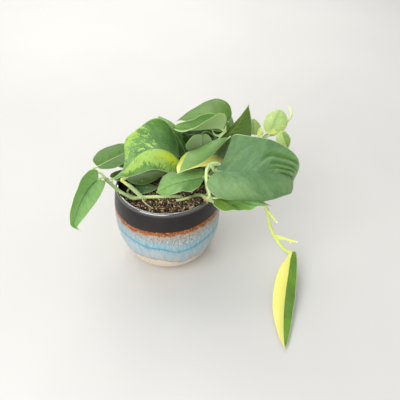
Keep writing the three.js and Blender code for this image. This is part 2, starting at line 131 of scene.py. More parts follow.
# Stem radii, in millimetres. A spur is a short side stem of the trailing vine.
VINE = 2.2
STALK = 1.9
STOUT_STALK = 2.185
PETIOLE = 1.4
SPUR = 1.35
ROOT = 0.9

# How stems are drawn, in millimetres
STEM_SIDES = 14
STEM_STEP = 1.2
JOINT_REACH = 2.4
JOINT_SWELL = 0.34
RING_GAP = 15
KNEE = dict(swell=0.16, place=5, half=3)

# How a stalk ends in its leaf: where it meets the blade, ahead and down, and its tail along the
# midrib, which is a share of the leaf's length. A leaf shorter than FULL_LEAF has a thinner end.
STALK_SEAT = (0.3, 0.25)
TAIL_STEPS = 6
TAIL_REACH = 0.07
TAIL_DEPTH = 0.35
TAIL_SINK = 0.1
TAIL_SHRINK = 0.72
TAPER_LENGTH = 9
FULL_LEAF = 75
THINNEST = 0.35
LEAF_PALE = 0.25
PALE_LENGTH = 14

# Free ends: a root thins out and is woody, a bud narrows to its tip, and a cut is pale with a
# woody ring behind it
ROOT_END = dict(thick=1.1, loss=0.7, bow=1.5, wood=0.75, more_wood=0.2, paler=0.6)
BUD_END = dict(length=9, tip=0.12, bow=0.6, paler=0.4, reach=8)
CUT_END = dict(face=0.9, edge=0.5, wood=0.5, back=2.4, reach=1.2, paler=0.3)

# Sheaths, in millimetres
SHEATH_STEP = 0.5
SHEATH_ROWS = 40
SHEATH_COLUMNS = 10
SHEATH_THICKNESS = 0.35
SHEATH_EDGE = 0.3

# Blade sizes, in millimetres
BLADE_MIDDLE = 0.55
BLADE_MARGIN = 0.3
MARGIN_WIDTH = 4
GROOVE_DEPTH = 0.24
GROOVE_HALF = 0.9
RIB_DEPTH = 0.54
RIB_HALF = 1.1
VEIN_LIFT = 0.1
VEIN_INSET = 3
WAVE_WIDTH = 6

# How blades are drawn: rows crowd to the base and columns to the midrib
BLADE_ROWS = 90
ROW_CROWDING = 1.5
COLUMN_CROWDING = 1.3
SPINE_STEPS = 96
LOBE_FADE = 6
BELL_LIFT = 0.6
DRIP_SHARE = 0.3
LEAST_BEND = 1e-6
VEINS = 9
VEIN_SPREAD = 1.14
VEIN_BOW = 0.75
BORDER_STEEPNESS = 3
NO_BORDER = 9

# Waves along the margin: how many, how high beside the first, and how their start shifts
MARGIN_WAVES = ((2.3, 1, 1), (4.7, 0.5, 2))
LEAF_SHIFT = 1.7
HALF_SHIFT = 2.1
WAVE_ENDS = 0.6

# Creases: where they fade in and out along the leaf, and in their half widths how far the
# valley and the raised shoulder lie from their line
CREASE_START = 0.08
CREASE_END = 0.06
VALLEY_OFF = 0.5
SHOULDER_OFF = 0.9
PLEAT_SHOULDER = 0.8

# How the leaves' patterns lie: apart from leaf to leaf and half to half, and drawn out
# along the veins
PATTERN_STEP = 90
PATTERN_HALF = 40
GRAIN_LEAN = 0.9
GRAIN_STRETCH = 0.3


# Each leaf: where its base is, which way it points, how it bends, and its outline.
# Pairs are left, right as seen from the base. Lengths are in millimetres, angles in degrees.
LEAVES = {
    "leaf_left_low": dict(
        at=(-86, 2, 114), turn=240, rise=11, tilt=-28, length=76, half=(17, 23), arch=(33, 57, 3),
        sweep=49, twist=-21, fold=(16, 30), curl=(13, -42), lobe=(0.11, 0.1), blunt=0.49, point=0.76,
        drip=0.02,
    ),
    "leaf_left_high": dict(
        at=(-90, 21, 120), turn=34, rise=7, length=66, half=(25, 22), arch=(-19, 23, 51), twist=6,
        fold=(22, 21), curl=(38, 26), lobe=(0.06, 0.06), blunt=0.52, point=0.96, drip=0.03,
    ),
    "leaf_variegated": dict(
        at=(16, 19, 127), turn=253, rise=59, tilt=-61, length=132, half=(32, 37), arch=(28, 311, -311),
        sweep=-40, twist=46, fold=(-7, -4), curl=(47, -40), lobe=(0.04, 0.2), blunt=0.6, point=0.74,
        drip=0.16, shape=((0.74, 0.92, 0.91, 1.01, 1.03), (1.04, 1.15, 1.05, 1.43, 0.7)),
    ),
    "leaf_behind": dict(
        at=(25, 48.7, 113.5), turn=158, rise=73, length=74, half=(15, 13), arch=(31, 95, 71), sweep=-17,
        twist=-33, fold=(12, 4), curl=(30, 33), lobe=(0.08, 0.07), blunt=0.47, point=0.96, drip=0,
    ),
    "leaf_yellow_tip": dict(
        at=(80, 44, 149), turn=230, rise=-7, tilt=41, length=98, half=(26, 33), arch=(47, -63, 19),
        sweep=3, twist=1, fold=(5, 30), curl=(59, 0), lobe=(0.08, -0.02), blunt=0.68, point=0.76,
        drip=0.03, shape=((1, 0.98, 1.05, 0.73, 0.57), (1.02, 0.88, 1.11, 1.09, 0.98)),
    ),
    "leaf_top_back": dict(
        at=(82, 78, 150), turn=177, rise=39, tilt=-21, length=87, half=(26, 34), arch=(143, 79, 23),
        sweep=-5, twist=19, fold=(12, 5), curl=(30, 9), lobe=(0.04, 0), point=1.2, drip=0.05,
    ),
    "leaf_folded": dict(
        at=(72, 57, 153), turn=205, rise=33, tilt=33, length=67, half=(34, 25), arch=(122, -15, 49),
        sweep=-49, twist=-83, fold=(66, 52), curl=(19, -74), lobe=(0.06, 0.08), blunt=0.61, point=0.7,
        drip=0,
    ),
    "leaf_pointed": dict(
        at=(70, 59, 135), turn=19, rise=30, tilt=15, length=63, half=(8, 29), arch=(-12, -42, -3),
        sweep=26, fold=(8, 10), curl=(39, 47), blunt=0.53, point=1.2, drip=0.06,
    ),
    "leaf_satin": dict(
        at=(61, -22, 145), turn=-5, rise=2, tilt=15, length=134, half=(43, 34), arch=(-50, 121, 378),
        sweep=2, twist=31, fold=(17, 15), curl=(1, 78), lobe=(-0.12, 0.09), blunt=0.32, point=0.75,
        drip=0.05, shape=((1.44, 1.03, 1, 1, 1), (1.29, 1.18, 1.26, 1.14, 1)),
    ),
    "leaf_under_satin": dict(
        at=(63, -38, 116), turn=-7, rise=5, length=69, half=(22, 23), arch=(16, 27, 34), sweep=5,
        twist=-8, fold=(2, 3), curl=(15, 13), lobe=(0.08, 0.1), blunt=0.46, point=1.13, drip=0.06,
    ),
    "leaf_front": dict(
        at=(48, -3, 122), turn=197, rise=-14, tilt=-10, length=68, half=(22, 33), arch=(-100, 93, 72),
        sweep=-12, twist=-13, fold=(12, 12), curl=(-11, 78), lobe=(-0.07, 0.13), blunt=0.59, point=0.86,
        drip=0.05, shape=((0.98, 1.01, 0.9, 0.98, 1.03), (1.04, 1.04, 1.11, 1.1, 0.95)),
    ),
    "leaf_shaded": dict(
        at=(-52, 0, 117), turn=30, rise=1, tilt=4, length=62, half=(18, 19), arch=(14, 27, 11), sweep=-3,
        fold=(10, 8), curl=(30, 32), lobe=(0.2, 0.01), point=0.98, drip=0.02,
    ),
    "leaf_inner_low": dict(
        at=(-44, -3, 103), turn=5, rise=2, length=36, half=(11, 11), arch=(10, 10, 10), fold=(8, 8),
    ),
    "leaf_inner_left": dict(
        at=(-68, 3, 114.8), turn=42, rise=-3, length=34, half=(12, 12), arch=(-4, 0, 10), fold=(-4, 2),
        curl=(2, 8),
    ),
    "leaf_inner_right": dict(
        at=(80, 66, 129.5), turn=172, rise=6, tilt=-55, length=80, half=(16.5, 16), arch=(0, 20, 30),
        fold=(8, 8),
    ),
    "leaf_inner_back": dict(
        at=(45, 44, 154), turn=100, rise=-80, length=42, half=(21.5, 14), arch=(-10, -20, -10),
        fold=(10, 10), blunt=0.62, point=0.8,
    ),
    "leaf_trailing": dict(
        at=(163, -34, 19.2), turn=259, rise=-9, tilt=-20, length=147, half=(15, 16), arch=(43, -44, -38),
        sweep=1, twist=-6, fold=(41, 6), curl=(-31, 29), lobe=(0.1, -0.07), blunt=0.61, point=0.82,
        drip=0.01,
    ),
    "leaf_back": dict(
        at=(-6, 52, 114), turn=96, rise=16, length=82, half=(30, 30), arch=(60, 90, 60),
    ),
    "leaf_back_left": dict(
        at=(-31, 41, 113), turn=158, rise=10, length=76, half=(25, 24), arch=(20, 60, 70),
    ),
    "leaf_back_right": dict(
        at=(58, 52, 111), turn=56, rise=15, length=84, half=(26, 28), arch=(50, 90, 60),
    ),
    "leaf_young_oval": dict(
        at=(134, 61, 144.5), turn=62, rise=31, tilt=12, length=43, half=(14.5, 16.5), arch=(10, 30, 30),
        fold=(10, 10), blunt=0.55, point=0.7,
    ),
    "leaf_young_low": dict(
        at=(148, 56.5, 148.5), turn=-76, rise=-12, tilt=10, length=26, half=(9, 9.5), arch=(30, 40, 30),
        fold=(8, 8), blunt=0.5, point=0.8,
    ),
    "leaf_young_left": dict(
        at=(115, 62, 142), turn=90, rise=25, tilt=8, length=30, half=(9, 9), arch=(10, 30, 30),
        fold=(10, 10), blunt=0.5, point=0.85,
    ),
    "leaf_young_mid": dict(
        at=(121, 56.5, 142.5), turn=86, rise=25, tilt=-10, length=18, half=(4, 4.5), arch=(10, 30, 30),
        fold=(12, 12),
    ),
}
LEAF_DEFAULTS = dict(
    tilt=0, arch=(50, 80, 60), sweep=0, twist=0, fold=(14, 14), curl=(30, 30), lobe=(0.08, 0.08),
    blunt=0.5, point=1.05, drip=0.04, shape=None,
)


def stem(radius, *points, leaf=None, run=7.0, end="plain", pale=(0.45, 0.5)):
    """A stem through points. With a leaf, it runs straight for the last stretch, run, into that
    leaf's base. pale is how pale it is at even places from its start to its end."""
    return dict(radius=radius, points=points, leaf=leaf, run=run, end=end, pale=pale)


SHOOTS = {
    "vine_left": dict(
        stems=(
            # This stem is painted darker toward its left end, painted shade on its dark side there.
            stem(VINE, (22, -12, 91), (19, -14, 98), (12, -16, 101), (-8, -17, 101), (-31, -19, 101.5),
                 (-41, -24, 104), (-51, -25, 111.5), (-60, -21, 116), (-69, -11, 117), (-76, -1, 116),
                 pale=(0.5, 0.66, 0.76, 0.6, 0.25, 0.12)),
            stem(PETIOLE, (-76, -1, 116), (-82, 8, 117), leaf="leaf_left_high"),
            stem(PETIOLE, (-76, -1, 116), leaf="leaf_left_low", run=5),
            stem(STOUT_STALK, (-31, -19, 101.5), (-38, -13, 105), (-46, -9, 111), leaf="leaf_shaded",
                 run=5, pale=(0.76, 0.8)),
            stem(PETIOLE, (-31, -19, 101.5), (-41, -17, 101), (-50, -8, 101), leaf="leaf_inner_low",
                 run=4),
            stem(PETIOLE, (-69, -11, 117), (-68, -5, 116.5), leaf="leaf_inner_left", run=2),
            stem(ROOT, (-27, -18, 101), (-27, -21, 99.5), (-26, -25, 98), end="root"),
            stem(ROOT, (-31, -20, 101), (-28, -26, 100.6), (-23, -32, 100.4), (-15, -40, 100.4),
                 end="root"),
        ),
        nodes=((-31, -19, 101.5), (-76, -1, 116)),
    ),
    "shoot_middle": dict(
        stems=(
            stem(STALK, (8, 24, 88), (10, 25, 104), (14, 25, 118), leaf="leaf_variegated", run=5),
            stem(PETIOLE, (9, 24, 97), (20, 38, 101), leaf="leaf_behind"),
            stem(PETIOLE, (8, 24, 93), (-2, 34, 104), leaf="leaf_back"),
            stem(PETIOLE, (8, 24, 90), (-10, 28, 102), leaf="leaf_back_left"),
        ),
        nodes=((9, 24, 97),),
    ),
    "shoot_right": dict(
        stems=(
            stem(VINE, (38, 26, 88), (44, 30, 106), (54, 36, 122), (62, 44, 134), end="bud"),
            stem(PETIOLE, (44, 30, 106), (58, 30, 122), (74, 36, 138), (81, 43, 145),
                 leaf="leaf_yellow_tip", run=2),
            stem(PETIOLE, (54, 36, 122), (62, 54, 126), (78, 57, 127), (89, 66, 131), (90, 76, 141),
                 leaf="leaf_top_back", run=4),
            stem(PETIOLE, (62, 44, 134), (68, 52, 144), leaf="leaf_folded", run=5),
            stem(PETIOLE, (62, 44, 134), (61, 54, 131), leaf="leaf_pointed", run=4),
            stem(PETIOLE, (62, 44, 134), (64, 55, 139), (60, 58, 144), (53, 56, 150),
                 leaf="leaf_inner_back", run=2, pale=(0.1, -0.1)),
            stem(PETIOLE, (44, 30, 106), (46, 37, 115.5), leaf="leaf_back_right", run=4),
            stem(PETIOLE, (78, 57, 127), (84, 62, 128.5), leaf="leaf_inner_right", run=2),
        ),
        nodes=((44, 30, 106), (54, 36, 122), (62, 44, 134)),
    ),
    "vine_right": dict(
        stems=(
            stem(VINE, (30, -9, 91), (35, -13, 99), (42, -22, 108), (50, -35, 115), (57, -41, 114),
                 (65, -44, 111), (78, -42, 109), (95, -38, 106), (112, -34, 103.5), (122, -31, 98),
                 (128, -28, 84), (131, -24, 65), (136, -22, 49), (140, -24, 41), (150, -31, 28),
                 (158, -33.2, 21), (161.5, -33.6, 19.5), leaf="leaf_trailing", run=1.5,
                 pale=(0.3, 0.5, 0.9, 1.2)),
            stem(STALK, (51, -37, 115), (54, -39, 121), (52, -35, 131), (50, -28, 141), (51, -21, 148),
                 (54, -19, 150.5), (57.5, -20, 149), leaf="leaf_satin", run=1.5,
                 pale=(0.5, 0.72, 0.6, 0.05)),
            stem(PETIOLE, (51, -36, 115), (56, -37, 115.5), leaf="leaf_under_satin", run=3),
            stem(PETIOLE, (48, -31, 113), (55, -20, 115), (58, -8, 119), leaf="leaf_front", run=5),
            stem(STALK, (33, -11, 96), (27, -18, 100), (19, -22, 100.5), (13, -24, 101), end="cut"),
            stem(SPUR, (126, -29, 90), (139, -43, 80), end="cut", pale=(0.9, 1)),
            stem(SPUR, (140, -24, 41), (154, -30, 41), (161, -34, 41), (169, -37, 41), end="cut",
                 pale=(0.9, 1)),
            stem(SPUR, (143, -26, 38), (158, -31, 39), (161, -35, 37), end="cut", pale=(0.9, 1)),
        ),
        nodes=((51, -36, 115), (126, -29, 90), (140, -24, 41)),
    ),
    "vine_back": dict(
        stems=(
            stem(VINE, (50, 6, 90), (54, 12, 108), (60, 22, 116.5), (74, 30, 114), (94, 42, 119),
                 (112, 54, 130), (131, 66, 138)),
            stem(STALK, (131, 66, 138), (143, 66, 141), (156, 79, 148), pale=(0.5, 0.9)),
            stem(PETIOLE, (156, 79, 148), (164, 88, 153), (165, 98, 156), (163, 109, 157), end="bud",
                 pale=(0.7, 0.72)),
            stem(PETIOLE, (126, 63, 136), leaf="leaf_young_oval", run=3),
            stem(PETIOLE, (143, 66, 141), (152, 67, 142.5), (154, 62.5, 146), leaf="leaf_young_low",
                 run=1.5),
            stem(PETIOLE, (105, 49, 126), leaf="leaf_young_left", run=4),
            stem(PETIOLE, (112, 54, 130), leaf="leaf_young_mid", run=4),
        ),
        nodes=((105, 49, 126), (131, 66, 138), (156, 79, 148)),
    ),
}

# Thin strips: sheaths and bracts along the stems, the curled lobe of the folded leaf, and dark
# sheets of painted shade among the leaves. Each has its places, its half width at each, the way it
# faces, how far it bows, and how dry and brown or, below 0, how dark a green of painted shade it is.
SHEATHS = {
    "sheath_satin": dict(
        points=((68, -12.5, 149), (63, -13, 150.3), (57, -14.8, 150.5), (52, -18, 148), (49.6, -22, 142.5),
                (49.6, -28, 134.5), (51.2, -34, 127), (54, -38.5, 120), (57, -41, 115.5)),
        halves=(0, 1.8, 2.9, 3.1, 2.6, 2.2, 2.1, 2.0, 0), facing=(-0.45, -0.65, 0.6), bow=0.9, dry=0.0,
    ),
    "sheath_shaded": dict(
        points=((-24, -20.5, 101.2), (-29, -20.6, 103.2), (-38, -14.8, 108.4), (-45, -11.2, 113.8),
                (-51, -8, 118.2)),
        halves=(0, 2.2, 2.7, 2.4, 0), facing=(0.1, -0.6, 0.75), bow=1.2, dry=0.0,
    ),
    "lobe_folded": dict(
        points=((76, 58, 160), (75.4, 56.4, 155), (73.6, 56, 150.4), (70, 56, 146.6), (66, 56.4, 144.4),
                (62, 57.4, 145.4), (59, 58.6, 149), (58, 60, 153)),
        halves=(0, 1.1, 1.3, 1.5, 1.6, 1.1, 0.7, 0), facing=(0.1, -0.6, 0.75), bow=0.6, dry=0.0,
    ),
    # A dark sheet of painted shade, standing where the plant lies in deep shade.
    "shade_sheet_middle": dict(
        points=((26.2, 60, 112), (25, 60, 125), (23.8, 60, 136.4), (21.3, 60, 146)),
        halves=(2.5, 4, 4, 0), facing=(0, -0.8, 0.6), bow=0.8, dry=-1.0,
    ),
    # A dark sheet of painted shade, standing where the plant lies in deep shade.
    "shade_sheet_back": dict(
        points=((84, 72, 163), (83.1, 72, 153.6), (80.7, 72, 145.9), (77, 72, 138)),
        halves=(0, 4, 4, 2), facing=(0, -0.8, 0.6), bow=0.8, dry=-0.6,
    ),
    "bract_long": dict(
        points=((44, -34.5, 114.5), (48, -37.5, 115), (53, -40, 114), (58, -41.4, 111)),
        halves=(0, 1.5, 1.7, 0), facing=(0, -0.7, 0.7), bow=0.5, dry=0.85,
    ),
    "bract_short": dict(
        points=((46, -36.5, 112), (49.5, -39.2, 112), (52.5, -41, 109.6)),
        halves=(0, 1.3, 0), facing=(0, -0.8, 0.6), bow=0.4, dry=1.0,
    ),
    "bract_left": dict(
        points=((51, -38.6, 117.5), (47, -38.4, 118.6), (43.6, -37, 118.2)),
        halves=(0, 1.2, 0), facing=(0.1, -0.8, 0.6), bow=0.4, dry=0.7,
    ),
}


def all_over(amount):
    """A soft patch that covers the whole leaf."""
    return ((0.5, 0, 2, 2, amount),)


# How each leaf's blade differs, by share of its length and by side, -1 at the left margin to 1
# at the right. kind picks its colours. tone goes from 0, the deepest green, to 1, the lightest,
# and sides shifts it on each half. tone, sides and patches give each leaf's own lighter and darker
# parts, and also paint light and shade: parts painted lighter where light falls on them and darker
# where they lie in shade. cream is how much each half leans to cream: it is cream above 0, and
# mottle is how much that breaks up. patches shift the tone, marks shift the cream, shade is painted
# shade that darkens parts lying under other leaves or inside folds, and warm turns green fresher and
# cream yellow: along, across, reach along, reach across and amount. border is a half and the edge
# of its cream. rib is how pale the midrib is or, below 0, how deep the painted shade in its groove
# is, and may change along the leaf. tip is 1 where the tip is dry and -1 where it is pale. creases
# are folds pressed into the blade and darkened along them with painted shade: depth in
# millimetres, half width, and line.
# wave is the height of the margin's waves in millimetres, and lift how far the veins stand out,
# beside other leaves. hook bends the leaf's end away: from where, and how far. swell pushes a
# margin out: where, which half, reach and how far. fine is the number of columns to a half.
LOOKS = {
    "leaf_left_low": dict(
        tone=0.79, sides=(0.02, 0.2), wave=0.5, rib=-0.6, tip=1,
        patches=((0.75, 0.8, 0.4, 0.5, 0.12), (0.3, 0.1, 0.35, 0.35, -0.12)),
        warm=((0.75, 0.95, 0.4, 0.25, 1.6), (1, 0, 0.1, 1, 1.2)),
        hook=((0.5, (-2, -5, -4)), (0.9, (13, 1, 1))),
    ),
    "leaf_left_high": dict(
        tone=0.26, sides=(0.06, -0.04), wave=0.4, rib=0.7, warm=all_over(0.5),
    ),
    "leaf_variegated": dict(
        tone=0.5, mottle=0.62, wave=0.9, swell=((0.37, 1, 0.1, 6.2),), rib=0, cream=(0.5, -0.4),
        shade=((0.6, -0.7, 0.5, 0.9, 0.12),),
        patches=(
            (0.75, 0.7, 0.3, 0.6, 0.2), (0.3, 0.4, 0.3, 0.6, -0.1), (0.92, 0, 0.1, 1.2, 0.1),
        ),
        marks=(
            (0.68, 0.9, 0.12, 0.4, 0.42), (0.56, 0.98, 0.2, 0.2, 0.36), (0.76, 0.62, 0.08, 0.3, 0.36),
            (0.43, 0.24, 0.08, 0.18, 0.46), (0.56, 0.2, 0.12, 0.16, 0.34), (0.5, 0.66, 0.06, 0.14, 0.32),
            (0.44, 0.55, 0.05, 0.1, 0.34), (0.84, 0.3, 0.06, 0.3, 0.32), (0.95, -0.4, 0.13, 1.6, -1.0),
            (0.5, -1, 0.35, 0.3, -0.6), (0.68, -0.86, 0.2, 0.3, -0.6), (0.82, -0.5, 0.05, 0.2, -0.3),
        ),
        warm=(
            (0.2, -0.34, 0.24, 0.3, 0.5), (0.02, 0.3, 0.1, 0.5, 0.5), (0.6, 0.8, 0.3, 0.6, 0.1),
        ),
    ),
    "leaf_behind": dict(tone=0.2, sides=(-0.06, 0.1), patches=((0.8, 0.4, 0.3, 0.6, 0.45),)),
    "leaf_yellow_tip": dict(
        tone=0.5, sides=(0, 0.26), mottle=0.05, wave=0.5, cream=(0.4, -0.6), rib=0.9,
        marks=((0.15, -0.5, 0.25, 2, -1.2),),
        warm=((0.9, 0.6, 0.4, 0.8, 1.0), (0.5, -0.8, 1.5, 1.0, 1.0)),
        patches=((0.55, 0.4, 0.4, 0.6, 0.1),),
        shade=((0.14, -0.7, 0.28, 0.7, 1.4), (0.5, -0.8, 0.3, 0.9, 0.56)),
        border=(1, ((0.36, 1.05), (0.42, 0.98), (0.65, 0.8), (0.86, 0.6), (0.97, 0.3))),
    ),
    "leaf_top_back": dict(
        tone=0.22, wave=0.5, rib=-0.3, warm=all_over(0.9),
        patches=((0.7, 0.2, 0.3, 0.5, 0.12), (0.1, -0.4, 0.2, 1, 0.1)),
    ),
    "leaf_folded": dict(
        # Its far half, the left, is painted lighter against the shade inside the fold.
        kind="satin", tone=0.66, sides=(0.75, 0.22), wave=0.7, rib=0.2, tip=1,
        warm=((0.5, -0.8, 2, 0.7, 1.2), (0.95, 0.3, 0.15, 0.8, 1.2)),
        patches=((0.1, -0.7, 0.2, 0.4, 0.25),),
    ),
    "leaf_pointed": dict(
        tone=-0.04, sides=(0.1, 0), wave=0.3, rib=0.2, tip=-1, warm=all_over(0.9),
        shade=all_over(0.15),
    ),
    "leaf_satin": dict(
        kind="satin", tone=0.45, wave=0.7, fine=50, lift=0.35,
        rib=((0, -0.1), (0.25, 0), (0.56, 0), (0.62, -0.7), (0.78, -0.9), (0.84, 0)),
        creases=(
            (3.1, 0.075, ((0.4, -0.2), (0.42, -0.33), (0.46, -0.46), (0.51, -0.54), (0.59, -0.58),
                          (0.67, -0.67), (0.77, -0.83))),
            (2.7, 0.06, ((0.46, -0.2), (0.49, -0.27), (0.55, -0.34), (0.62, -0.38), (0.75, -0.5),
                         (0.82, -0.6))),
            (2.3, 0.05, ((0.46, -0.05), (0.49, -0.1), (0.55, -0.19), (0.62, -0.21), (0.7, -0.29),
                         (0.78, -0.36))),
            (2.9, 0.035, ((0.56, -0.04), (0.65, -0.04), (0.78, -0.08))),
        ),
        patches=(
            # The first patch, near the base, is painted light where that part faces the lamps.
            (0.1, 0.8, 0.3, 0.5, 0.26), (0.5, 0.1, 0.3, 0.3, -0.06), (0.85, 0.2, 0.2, 1, 0.12),
            (0.8, -0.8, 0.35, 0.5, 0.14), (0.72, 0.3, 0.25, 0.5, 0.1), (0.97, -0.1, 0.2, 1.2, 0.34),
        ),
    ),
    "leaf_under_satin": dict(
        tone=0.34, wave=1.7, rib=0.2, patches=((0.15, 0.5, 0.3, 0.6, -0.16), (0.75, 0.6, 0.3, 0.6, 0.5)),
        warm=((0.1, 0.4, 0.3, 1, 1.6),),
        creases=(
            (1.2, 0.12, ((0.04, 0.1), (0.2, 0.35), (0.4, 0.85))),
            (1.0, 0.1, ((0.4, 0.2), (0.6, 0.5), (0.75, 0.9))),
        ),
    ),
    "leaf_front": dict(
        tone=0.7, sides=(0.1, 0.24), wave=1.3, rib=-0.5,
        patches=((0.75, -0.4, 0.25, 0.5, 0.1), (0.2, -0.6, 0.3, 0.6, -0.12)),
        warm=((0.8, -0.3, 0.3, 0.7, 0.4),),
    ),
    "leaf_shaded": dict(
        tone=0.16, cream=(-0.6, -0.6), marks=((0.28, 0.71, 0.03, 0.07, 0.9),),
        warm=all_over(1.4), shade=all_over(0.66),
    ),
    "leaf_inner_low": dict(tone=0.5, mottle=0.7, cream=(-0.34, -0.34), kind="satin"),
    "leaf_inner_left": dict(
        tone=0.04, wave=0.1, warm=all_over(1.0), shade=all_over(0.42),
    ),
    "leaf_inner_right": dict(tone=0.0, wave=0.2),
    "leaf_inner_back": dict(
        tone=0.4, wave=0.2, kind="satin", rib=0.1, fine=30, shade=all_over(0.22),
    ),
    "leaf_trailing": dict(tone=0.26, cream=(-1, 0.8), rib=0, warm=((0.5, 0.5, 3, 3, 1.0),)),
    "leaf_back": dict(tone=0.4, wave=0.6),
    "leaf_back_left": dict(tone=0.46, wave=0.6, rib=0.5),
    "leaf_back_right": dict(tone=0.36, mottle=0.5, cream=(-0.1, -0.3), wave=0.6),
    "leaf_young_oval": dict(
        kind="young", tone=0.6, sides=(0.06, -0.06), mottle=0.26, cream=(-0.36, -0.24), wave=0.5,
        rib=-0.15, patches=((0.5, -0.5, 0.3, 0.3, 0.2), (0.45, 0.35, 0.3, 0.2, 0.16)),
        marks=(
            (0.1, 0.3, 0.16, 0.7, 0.34), (0.1, -0.5, 0.12, 0.5, 0.34), (0.45, 0.75, 0.15, 0.25, 0.2),
        ),
    ),
    "leaf_young_low": dict(
        kind="young", tone=0.24, sides=(0, 0.4), mottle=0.2, cream=(-0.3, -0.1), wave=0.3, rib=0.3,
    ),
    "leaf_young_left": dict(kind="young", tone=0.36, mottle=0.2, cream=(-0.24, -0.2), wave=0.3, rib=0.2),
    "leaf_young_mid": dict(kind="young", tone=0.5, mottle=0.3, cream=(0.05, 0), wave=0.1),
}
LOOK_DEFAULTS = dict(
    kind="green", tone=0.4, sides=(0, 0), cream=(-1, -1), mottle=0.0, wave=0.4, rib=0.4, tip=0,
    patches=(), marks=(), warm=(), shade=(), creases=(), border=None, hook=(), swell=(), fine=16,
    lift=1.0,
)

# The stage and the camera, in metres and degrees
FLOOR_REACH = 3000
SKY_TINT = (0.96, 0.98, 1.0, 1.0)
SKY_STRENGTH = 0.6
LAMP_TARGET = (0.02, 0, 0.1)
LAMPS = (
    ("window", (-0.25, 0.9, 1.0), 1.3, 12.0, (1.0, 0.99, 0.96)),
    ("glint", (-0.08, 1.1, 0.98), 0.32, 2.4, (1.0, 1.0, 1.0)),
    ("fill", (-0.5, -0.9, 0.85), 1.2, 17.0, (0.99, 1.0, 1.0)),
)
CAMERA_PLACE = (0.042291, -0.601047, 0.580557)
CAMERA_PITCH = 39.7
LENS = 54
SENSOR = 36


# Node trees


class Wire:
    """One output of a node, with the plain operators that the finishes are worked out with."""

    def __init__(self, tree, socket):
        self.tree = tree
        self.socket = socket

    def __add__(self, other):
        return self.tree.maths("ADD", self, other)

    __radd__ = __add__

    def __sub__(self, other):
        return self.tree.maths("SUBTRACT", self, other)

    def __rsub__(self, other):
        return self.tree.maths("SUBTRACT", other, self)

    def __mul__(self, other):
        return self.tree.maths("MULTIPLY", self, other)

    __rmul__ = __mul__

    def __truediv__(self, other):
        return self.tree.maths("DIVIDE", self, other)

    def __rtruediv__(self, other):
        return self.tree.maths("DIVIDE", other, self)


class Tree:
    """A node tree, with one method that adds any node."""

    def __init__(self, tree):
        self.tree = tree
        tree.nodes.clear()

    def add(self, kind, settings=None, inputs=None, output=0):
        """Adds a node: its settings first, then the values or links of its sockets."""
        node = self.tree.nodes.new(kind)
        for name, value in (settings or {}).items():
            if name == "stops":
                self.set_stops(node.color_ramp, value)
            else:
                setattr(node, name, value)
        for key, value in (inputs or {}).items():
            if isinstance(value, Wire):
                self.tree.links.new(value.socket, node.inputs[key])
            else:
                node.inputs[key].default_value = value
        if output is None:
            return node
        return Wire(self, node.outputs[output])

    def set_stops(self, ramp, stops):
        """Gives a colour ramp its stops."""
        while len(ramp.elements) < len(stops):
            ramp.elements.new(0.5)
        for element, (place, colour) in zip(ramp.elements, stops):
            element.position = place
            element.color = colour

    def maths(self, operation, *values):
        """One Math node on numbers or wires."""
        return self.add("ShaderNodeMath", {"operation": operation}, dict(enumerate(values)))

    def scaled(self, vector, amount):
        """The vector, longer or shorter."""
        return self.add("ShaderNodeVectorMath", {"operation": "SCALE"}, {0: vector, "Scale": amount})


def paint(code):
    """A colour written as six hex digits, as the shader wants it."""
    shares = [int(code[i:i + 2], 16) / 255 for i in (0, 2, 4)]
    return tuple(s / 12.92 if s <= 0.04045 else ((s + 0.055) / 1.055) ** 2.4 for s in shares) + (1.0,)


